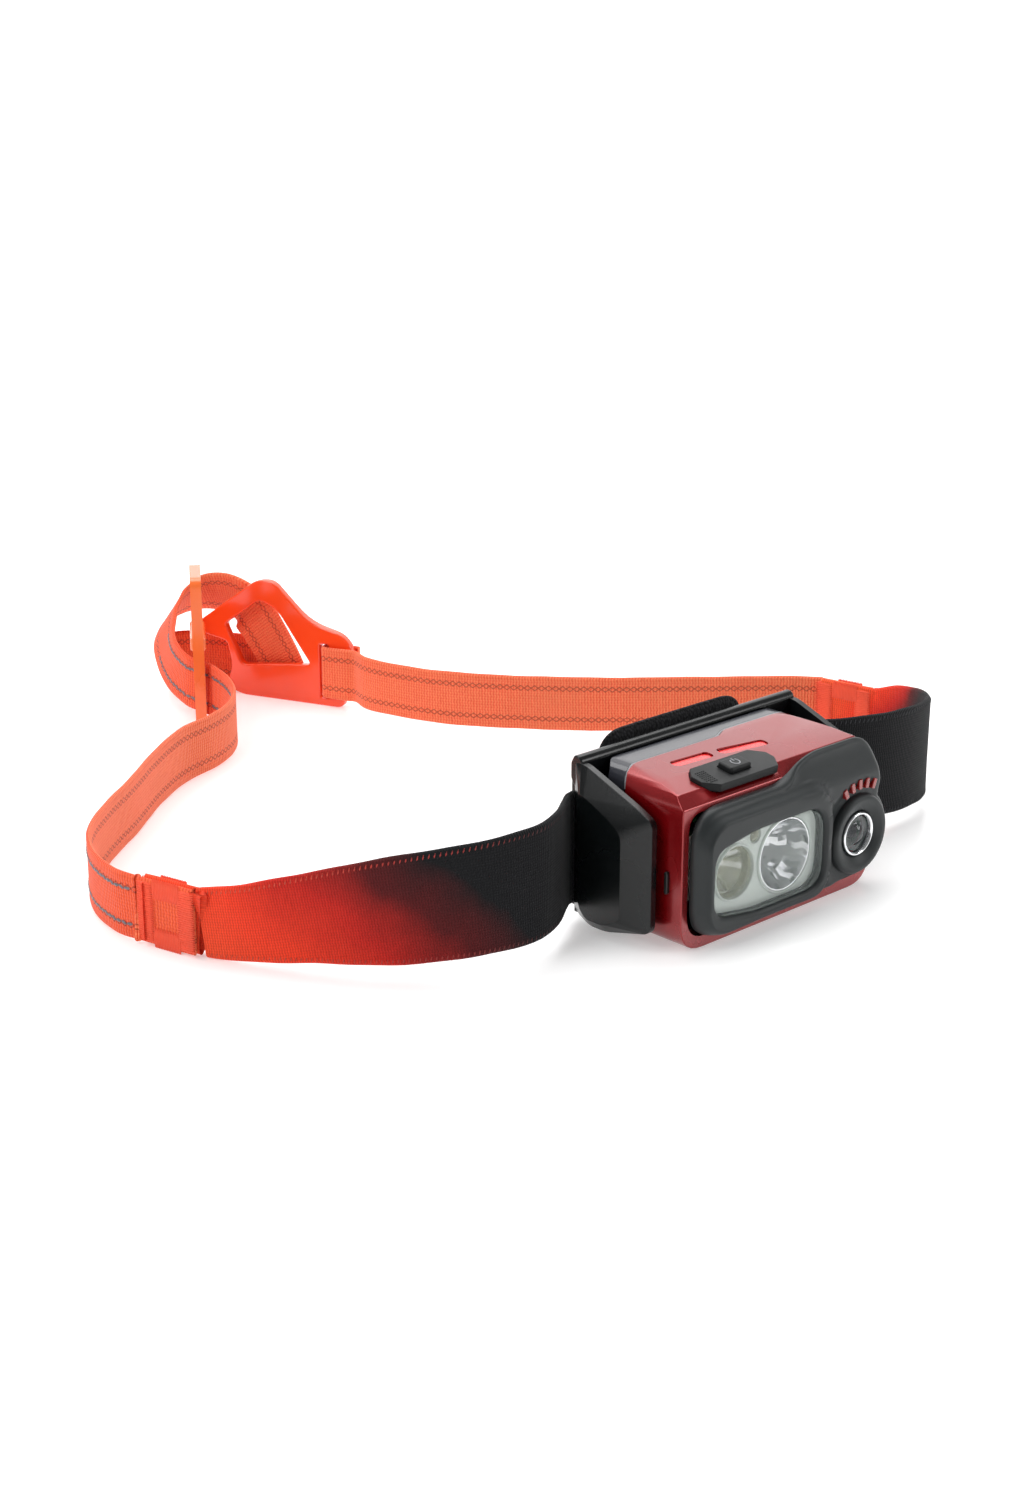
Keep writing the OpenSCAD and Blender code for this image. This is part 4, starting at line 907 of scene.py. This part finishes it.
def arm(border, panel, x, side):
    """Side arm: a plate whose outer face swells inside a broad sloping border"""
    bm = prism(border, min(x, x + side * 1.6), max(x, x + side * 1.6), "side")
    for p in rounded(panel):
        bm.verts.new(Vector((x + side * 3.8, p.x, p.y)) * MM)
    bmesh.ops.delete(bm, geom=bm.edges[:], context="EDGES_FACES")
    hull = bmesh.ops.convex_hull(bm, input=bm.verts)
    spare = {g for g in hull["geom_interior"] + hull["geom_unused"] if isinstance(g, bmesh.types.BMVert)}
    bmesh.ops.delete(bm, geom=list(spare), context="VERTS")
    bmesh.ops.dissolve_limit(bm, angle_limit=math.radians(1.5), verts=bm.verts, edges=bm.edges)
    face_out(bm)
    round_edges(bm, 0.6, 4, angle=14)
    return bm


def along_x(bm):
    """Turns a rod made along Y, at (y, z), to lie along X"""
    for v in bm.verts:
        v.co.x, v.co.y = v.co.y, v.co.x
    face_out(bm)
    return bm


# ---------------------------------------------------------------- straps


def track(stations, steps=8):
    """Smooth path through stations [x, y, middle height, width, lean]

    Each step is (distance, middle, along, outward, upward, width).
    """
    points = []
    count = len(stations)
    for i in range(count - 1):
        a, b, c, d = (Vector(stations[max(0, min(count - 1, i + k))]) for k in (-1, 0, 1, 2))
        for k in range(steps):
            t = k / steps
            start = 2 * b + (c - a) * t + (2 * a - 5 * b + 4 * c - d) * t * t
            points.append(0.5 * (start + (3 * b - a - 3 * c + d) * t ** 3))
    points.append(Vector(stations[-1]))
    made, done = [], 0.0
    for i, p in enumerate(points):
        here = Vector(p[:3])
        along = (Vector(points[min(i + 1, len(points) - 1)][:3]) - Vector(points[max(i - 1,
                0)][:3])).normalized()
        side = Vector((-along.y, along.x, 0)).normalized()
        up = along.cross(side)
        lean = math.radians(p[4])
        if i:
            done += (here - Vector(points[i - 1][:3])).length
        made.append((done, here, along, side * math.cos(lean) - up * math.sin(lean),
                up * math.cos(lean) + side * math.sin(lean), p[3]))
    return made


def at(path, distance):
    """Where a path is after the given distance"""
    for a, b in zip(path, path[1:]):
        if b[0] >= distance:
            share = max(0.0, (distance - a[0]) / max(1e-9, b[0] - a[0]))
            return [a[k] + (b[k] - a[k]) * share for k in range(6)]
    return list(path[-1])


def ribbon(name, path, thick, finishes, nodes, outer_is_positive=True, wave=0.0):
    """Woven strip with full, rolled edges

    The first finish goes on its outer face and the second on its inner face.
    """
    # (share of half width, share of thickness, inset from the edge)
    section = [(1.0, 0.0, 0), (1.0, 0.3, 0.16), (1.0, 0.5, 0.5), (1.0, 0.47, 1.6), (0.5, 0.45, 0),
            (0.0, 0.45, 0), (-0.5, 0.45, 0), (-1.0, 0.47, 1.6),
               (-1.0, 0.5, 0.5), (-1.0, 0.3, 0.16), (-1.0, 0.0, 0), (-1.0, -0.3, 0.16), (-1.0, -0.5, 0.5),
                       (-1.0, -0.47, 1.6), (-0.5, -0.45, 0), (0.0, -0.45, 0),
               (0.5, -0.45, 0), (1.0, -0.47, 1.6), (1.0, -0.5, 0.5), (1.0, -0.3, 0.16)]

    def across(k, width):
        share, _, inset = section[k % len(section)]
        sign = 1 if share > 0 else -1
        return share * width / 2 - (sign * inset * (thick if inset < 1 else 1.0) if abs(share) == 1 else 0)

    rows = []
    for distance, here, along, out, up, width in path:
        ripple = wave * math.sin(distance / 7.3) * math.sin(distance / 2.9)
        rows.append([(here + up * (across(k, width) + ripple * share) + out * depth * thick) * MM
                     for k, (share, depth, _) in enumerate(section)])
    bm = loft(rows, ring=True, uvs=lambda j, i: (path[j][0] * MM, across(i, path[j][5]) * MM))
    close_ends(bm)
    for face in bm.faces:
        distance = sum(loop[bm.loops.layers.uv.active].uv.x for loop in face.loops) / len(face.loops) / MM
        step = at(path, distance)
        facing = face.normal.dot(step[3])
        face.material_index = 0 if (facing > 0) == outer_is_positive else 1
    return solid(name, bm, list(finishes), "band", nodes, smooth=60, weighted=False)


def stitches(name, places, size, finish, nodes=()):
    """Rows of short threads, each a small stretched bead. A place is (middle, along, up)"""
    bm = bmesh.new()
    for middle, along, up in places:
        out = along.cross(up).normalized()
        frame3 = Matrix((along.normalized() * size[0], up.normalized() * size[1],
                out * size[2])).transposed().to_4x4()
        bmesh.ops.create_icosphere(bm, subdivisions=1, radius=MM,
                matrix=Matrix.Translation(middle * MM) @ frame3)
    return solid(name, bm, [finish], "band", nodes, smooth=80, weighted=False)


LEFT_JOINT = ((-106.5, 54.5), Vector((-3.5, 14)).normalized(), 7.9)
RIGHT_JOINT = ((94.2, 36.0), Vector((-2.4, 14)).normalized(), 13.0)
BAND_T, STRAP_T, STRAP_W = 1.5, 1.2, 15.0
LAYER = (BAND_T + STRAP_T) / 2 + 0.05
JOINT_L = 14.0
UP = Vector((0, 0, 1))


def joint_station(joint, along, out, width):
    spot = Vector(joint[0]) + joint[1] * along + Vector((joint[1].y, -joint[1].x)) * out
    return [spot.x, spot.y, joint[2], width, 0]


BAND_Y = 14.3
BAND_STATIONS = [
    joint_station(LEFT_JOINT, JOINT_L, 0, 15.4), joint_station(LEFT_JOINT, 0, 0, 15.6),
            joint_station(LEFT_JOINT, -2, 0, 16),
    [-101.5, 43.5, 9.2, 17.4, 0], [-94.5, 33, 11.4, 20, 0], [-84, 19.5, 14, 23.8, 0],
            [-70, 8.5, 16, 25.4, 0], [-57, 5, 16.7, 26, 0],
    [-48, 7.2, 17, 26, 0], [-40.3, 12.3, 17, 26, 0], [-36.6, BAND_Y, 17, 26, 0], [-28.8, BAND_Y, 17, 26, 0],
            [25.8, BAND_Y, 17, 26, 0],
    [33.6, BAND_Y, 17, 26, 0], [37.3, 12.3, 17, 26, 0], [47, 6.8, 17, 26, 0], [58, 3.6, 16.5, 26, 0],
            [70, 3.8, 15.8, 26, 0],
    [81, 8, 14.8, 25.5, 0], [90, 17.5, 14, 23, 0], [94, 27, 13.4, 20, 0],
    joint_station(RIGHT_JOINT, -2, 0, 16), joint_station(RIGHT_JOINT, 0, 0, 15.6),
            joint_station(RIGHT_JOINT, JOINT_L, 0, 15.4)]
LEFT_STATIONS = [
    joint_station(LEFT_JOINT, 0, -LAYER, 15), joint_station(LEFT_JOINT, JOINT_L, -LAYER, 15),
            joint_station(LEFT_JOINT, JOINT_L + 2, -LAYER, 15),
    [-112.3, 77, 7.7, 15, 0], [-109.5, 89, 7.7, 15, 0], [-102, 101.5, 7.7, 15, 0], [-90, 112.5, 7.7, 15, 0],
            [-76, 123, 7.7, 15, 0],
    [-60, 136, 7.7, 15, 0], [-45.5, 145.5, 7.7, 15, 0], [-33, 149.8, 7.7, 15, 0], [-23.5, 155, 7.9, 15, 0],
            [-16.5, 162.5, 8.5, 15, 0],
    [-12.4, 171.5, 9.3, 15, 0], [-10.9, 180, 9.9, 15, 0]]
LOOP_STATIONS = [
    [-10.9, 180.5, 9.9, 15, 0], [-11.4, 185.2, 10.3, 15, 0], [-12, 190.5, 10.9, 15, 0],
            [-10.6, 199, 13.1, 15, -6], [-7, 207, 16.3, 15, -18],
    [-2.2, 213, 20.7, 15, -34], [4.4, 215.6, 24.7, 15, -44], [11.4, 213.4, 27.1, 15, -38],
            [15, 206.6, 27.3, 15, -20], [15.9, 199.6, 25.3, 15, -3],
    [17.4, 195.2, 20.5, 15, 0], [19.2, 189.9, 12.3, 14.4, 0], [20.4, 186.4, 6.1, 13.6, 0]]
TAIL_STATIONS = [
    [22.6, 187.6, 8.7, 15, 0], [18.8, 196.9, 8.7, 15, 0], [14.6, 206, 8.7, 15, 0], [9.8, 213.4, 8.7, 15, 0],
            [5, 217.2, 8.7, 15, 0], [0.6, 218, 8.7, 15, 0]]
YOKE_AT = Vector((15.75, 191.3))
YOKE_TURN = math.atan2(-0.923, 0.385)
RIGHT_MID = 10.2  # height of the right strap's middle at the yoke


def yoke_point(s, n):
    """Point in plan beside the yoke: s along its plate, n behind it"""
    return YOKE_AT + s * Vector((math.cos(YOKE_TURN),
            math.sin(YOKE_TURN))) + n * Vector((-math.sin(YOKE_TURN), math.cos(YOKE_TURN)))


def right_path():
    back = 1.3 + 0.3 + STRAP_T / 2
    made = [[*yoke_point(s, n), RIGHT_MID, STRAP_W, 0] for s, n in
            ((29.4, back), (25, back), (21.6, back), (20.3, back * 0.85), (19.65, back * 0.4), (19.6, 0),
                    (19.65, -back * 0.4),
             (20.3, -back * 0.85), (21.6, -back), (27, -back), (30.5, -back))]
    made += [[23.6, 155, 10.2, 15, 0], [25.4, 145, 10.2, 15, 0], [30, 132, 10.2, 15, 0],
            [38.6, 116.5, 10.6, 15, 0], [53, 97, 11.2, 15, 0],
             [70, 78, 12, 15, 0], [84.5, 62, 12.8, 15, 0], joint_station(RIGHT_JOINT, JOINT_L + 2, LAYER, 15),
             joint_station(RIGHT_JOINT, JOINT_L, LAYER, 15), joint_station(RIGHT_JOINT, 0, LAYER, 15)]
    return track(made, 6)


def chain_row(path, start, end, across, pitch, lift):
    """Places for a row of short twisted threads along a strip"""
    places = []
    steps = int((end - start) / pitch)
    for k in range(steps):
        _, here, along, out, up, _ = at(path, start + (k + 0.5) * pitch)
        tilt = 0.3 if k % 2 else -0.05
        places.append((here + up * across + out * lift, along + up * tilt, up))
    return places


def band_and_straps():
    band_path = track(BAND_STATIONS, 8)
    length = band_path[-1][0] * MM
    cloth = band_cloth("band_twill", length, 0.08, 0.03)
    ribbon("knit_band", band_path, BAND_T, [cloth, cloth], ["front_band"],
            outer_is_positive=False, wave=0.12)
    left, loop = track(LEFT_STATIONS, 8), track(LOOP_STATIONS, 10)
    for name, path, node, wave in (
            ("left_webbing", left, "left_strap", 0.08), ("loop_webbing", loop, "strap_loop", 0.05),
            ("tail_webbing", track(TAIL_STATIONS, 8), "strap_tail", 0.05),
            ("right_webbing", right_path(), "right_strap", 0.08)):
        ribbon(name, path, STRAP_T, [WEB_OUT, WEB_IN], [node], wave=wave)
    lift = STRAP_T * 0.47
    threads = []
    for side in (-1, 1):
        threads += chain_row(left, 17, left[-1][0] - 0.5, side * 4.1, 1.75, lift)
        threads += chain_row(loop, 0.5, 30, side * 4.1, 1.75, lift)
    stitches("reflective_threads", threads, (1.02, 0.42, 0.2), GREY_THREAD)
    bar_rises = [UP * (-6.5 + 0.5 * k) for k in range(27)]
    for name, joint, sign, node in (("left_joint_threads", LEFT_JOINT, 1, "left_joint_stitching"),
            ("right_joint_threads", RIGHT_JOINT, -1, "right_joint_stitching")):
        along3 = Vector((joint[1].x, joint[1].y, 0))
        out3 = Vector((joint[1].y, -joint[1].x, 0))
        places = []
        corner = Vector((*joint[0], joint[2]))
        faces = (-sign * (LAYER + STRAP_T / 2), sign * BAND_T / 2)
        for face in faces:
            for start in (1.7, JOINT_L - 1.2):
                for rise in bar_rises:
                    places.append((corner + along3 * start + out3 * face + rise, along3, UP))
        # wrapped over the strap's end
        for rise in bar_rises:
            spot = corner + along3 * (JOINT_L + 0.2) - out3 * sign * (LAYER / 2 + 0.3) + rise
            places.append((spot, along3 * 0.6 + out3 * sign * 0.8, UP))
        for face in faces:
            for z in (-5.6, 5.6):
                for k in range(16):
                    places.append((corner + UP * z + along3 * (3.6 + k * 0.45) + out3 * face, UP, along3))
        stitches(name, places, (2.8, 0.36, 0.3), THREAD, [node])
    # overlocked edges of the wide band
    places = []
    for side in (-1, 1):
        steps = int((band_path[-1][0] - 34) / 1.15)
        for k in range(steps):
            _, here, along, out, up, width = at(band_path, 17 + k * 1.15)
            places.append((here + up * side * (width / 2 - 1.1) - out * BAND_T * 0.46, up + along * 0.35,
                    along))
    stitches("band_edge_threads", places, (0.62, 0.2, 0.1), band_thread())


def band_thread():
    """Thread that takes the band's colour where it lies"""
    made = Finish("band_edge_thread", srgb(40, 41, 45), 0.7)
    spot = made.node("ShaderNodeSeparateXYZ")
    made.feed(made.coords(), spot.inputs[0])
    x = spot.outputs[0]
    fade = made.node("ShaderNodeValToRGB")
    made.feed(made.span(x, 0.0, 1.0, -0.106, -0.040), fade.inputs[0])
    ramp = fade.color_ramp
    ramp.elements[0].color = srgb(240, 84, 50)
    ramp.elements[1].position, ramp.elements[1].color = 1.0, srgb(44, 45, 50)
    ramp.elements.new(0.35).color = srgb(196, 50, 40)
    ramp.elements.new(0.7).color = srgb(96, 38, 38)
    fuzz = made.noise(made.coords(), 2500, 2)
    made.paint(made.blend(made.span(fuzz, 0.0, 0.5, 0.3, 0.7), fade.outputs[0], shade(srgb(40, 41, 45), 0.6)))
    made.bump(fuzz, 0.00004)
    return made


# ---------------------------------------------------------------- buckles and pad


def slider():
    turn = math.atan2(0.818, 0.575)
    place = placed(-9.2, 188.2, 0, turn)
    half, bar, slot_w = 9.5, 2.8, 5.3
    bm = prism(box_corners(-half, half, 0, 41.8, 3), -1.5, 1.5, steps=8)
    cutters = []
    for side in (-1, 1):
        for z0, z1 in ((2, 22), (24.4, 39.4)):
            a = side * (bar + slot_w) / 2
            cutters.append(prism(box_corners(a - slot_w / 2, a + slot_w / 2, z0, z1, 1.2), -5, 5))
    bm = carve(bm, cutters)
    round_edges(bm, 1.3, 5, angle=50)
    bm = prism(box_corners(-half + 0.1, half - 0.1, 21.4, 25.4, 1.2), -2.1, 2.1, bevel=1.1, segments=4,
            into=bm)
    move(bm, place)
    solid("three_bar_slider", bm, [PALE_ORANGE], "band", ["slider"], smooth=45)


def yoke():
    place = placed(YOKE_AT.x, YOKE_AT.y, 0, YOKE_TURN)
    outline = [(-20.5, 17, 1.5), (-20.5, 20.5, 1.5), (-1, 34.6, 2.6), (4, 34.6, 2.2), (15, 24, 5),
            (26, 21.3, 2.6), (29, 17.5, 2), (27.5, 8, 3),
               (25.6, 0, 2), (10, 0, 4), (-8, 0, 2.8), (-12.5, 2.4, 2), (-10, 8, 3), (-11.6, 15.4, 1.5)]
    window = [(-6.8, 9, 1.5), (-12, 20.4, 1.2), (-0.6, 28.8, 2), (5.2, 26.4, 3), (11, 18, 3),
            (15.6, 11.5, 1.5), (4, 10.4, 2)]
    bm = prism(outline, -1.3, 1.3, steps=8)
    bm = carve(bm, [prism(window, -6, 6), prism(box_corners(18.6, 21.6, 2.4, 18, 0.8), -6, 6)])
    round_edges(bm, 0.8, 4, angle=50)
    back = 1.3 + 4.6
    bm = prism(box_corners(-4, 16.4, 0.02, 1, 0.3), 0.6, back + 1.2, bevel=0.2, into=bm)
    bm = prism(box_corners(-4, 16.4, 0.02, 9, 0.8), back, back + 1.2, bevel=0.35, into=bm)
    bm = prism(box_corners(15.4, 16.4, 0.02, 9, 0.3), 0.6, back + 1.2, bevel=0.25, into=bm)
    move(bm, place)
    solid("strap_yoke", bm, [ORANGE], "band", ["rear_yoke"], smooth=45)


def forehead_pad():
    """Knitted foam pad, flat at the bracket, crowned at the forehead and pinched at its sewn edge"""
    low, high = (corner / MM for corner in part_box("forehead_pad"))
    outline = rounded(box_corners(low.x, high.x, low.z, high.z, 8), 8)
    middle = Vector(((low.x + high.x) / 2, (low.z + high.z) / 2))
    rows = []
    front_y, back_y = low.y, high.y
    for share, depth in ((0.02, 1.0), (0.3, 1.0), (0.6, 0.98), (0.8, 0.9), (0.9, 0.76), (0.95, 0.62),
            (0.972, 0.5), (0.985, 0.52), (1.0, 0.42), (1.0, 0.3),
                         (0.985, 0.2), (0.972, 0.22), (0.95, 0.12), (0.9, 0.03), (0.7, 0.0), (0.3, 0.0),
                                 (0.02, 0.0)):
        row = []
        for p in outline:
            spot = middle + (p - middle) * share
            row.append(Vector((spot.x, front_y + (back_y - front_y) * depth, spot.y)) * MM)
        rows.append(row)
    bm = loft(rows, ring=True)
    close_ends(bm)
    pad = solid("knit_forehead_pad", bm, [PAD_KNIT], "band", ["forehead_pad"], smooth=70,
            weighted=False)
    fuller = pad.modifiers.new("fuller", "SUBSURF")
    fuller.levels = fuller.render_levels = 1


# ---------------------------------------------------------------- frame nodes that stay

FRAME_FINISHES = {
    "chassis": BLACK, "bezel_gasket": RUBBER, "lens_seal": RUBBER, "main_led": PHOSPHOR,
            "flood_led": PHOSPHOR, "red_led": FLOOD_GLASS,
    "led_board": WHITE_BOARD, "heat_sink": ALUMINIUM, "circuit_board": GREEN_BOARD, "tact_switch": BLACK,
            "light_sensor": BLACK,
    "sensor_board": GREEN_BOARD, "chassis_screws": STEEL, "contact_pins": GOLD, "usb_port": STEEL,
            "battery_case": BATTERY,
    "battery_cell": FOIL, "battery_board": GREEN_BOARD, "battery_contacts": GOLD, "hinge_pins": STEEL}


def finish_frame():
    for name, made in FRAME_FINISHES.items():
        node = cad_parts[name]
        node.data.materials.clear()
        node.data.materials.append(made.material)


# ---------------------------------------------------------------- floor and light


def studio():
    flat_end, sweep_r = 3.5, 1.5
    turns = [k * math.pi / 24 for k in range(1, 13)]
    sweep = [(flat_end + sweep_r * math.sin(a), sweep_r - sweep_r * math.cos(a)) for a in turns]
    profile = [(-6, 0), (flat_end, 0), *sweep, (flat_end + sweep_r, 6)]
    away = Vector((0.686, 0.728, 0))
    side = Vector((0.728, -0.686, 0))
    rows = [[side * s + away * d + Vector((0, 0, z)) for s in (-7, 7)] for d, z in profile]
    floor = loft(rows, ring=False)
    mesh = bpy.data.meshes.new("floor")
    face_out(floor)
    floor.to_mesh(mesh)
    floor.free()
    made = Finish("floor_white", (0.8, 0.8, 0.8, 1), 0.22, Specular_IOR_Level=0.35,
            Emission_Color=(1, 1, 1, 1))
    near_glow, far_glow = 0.36, 0.95
    distance = made.node("ShaderNodeVectorMath", operation="LENGTH")
    made.feed(made.coords(), distance.inputs[0])
    made.feed(made.span(distance.outputs["Value"], near_glow, far_glow, 0.5, 1.6),
            made.shader.inputs["Emission Strength"])
    mesh.materials.append(made.material)
    mesh.shade_smooth()
    ground = bpy.data.objects.new("floor", mesh)
    scene.collection.objects.link(ground)
    world = bpy.data.worlds.new("studio")
    scene.world = world
    world.use_nodes = True
    nodes, links = world.node_tree.nodes, world.node_tree.links
    nodes["Background"].inputs[0].default_value = (1, 1, 1, 1)
    # plain white behind the object from every side, with a softer light from it
    seen = nodes.new("ShaderNodeLightPath")
    level = nodes.new("ShaderNodeMapRange")
    level.inputs["To Min"].default_value, level.inputs["To Max"].default_value = 0.22, 1.0
    links.new(seen.outputs["Is Camera Ray"], level.inputs["Value"])
    links.new(level.outputs[0], nodes["Background"].inputs[1])
    softbox("overhead", (0.1, 0.35, 1.0), (0, 0.08, 0), (1.5, 0.8), 13)
    softbox("left_key", (-1.0, 0.25, 0.75), (0, 0.05, 0.02), (0.5, 0.8), 6)
    softbox("right_fill", (0.75, -0.85, 0.55), (0, 0.0, 0.02), (0.5, 0.5), 4)
    scene.view_settings.view_transform = "Standard"


make_camera()
studio()
red_shell()
bezel_face()
optics()
controls()
battery()
bracket()
band_and_straps()
slider()
yoke()
forehead_pad()
finish_frame()
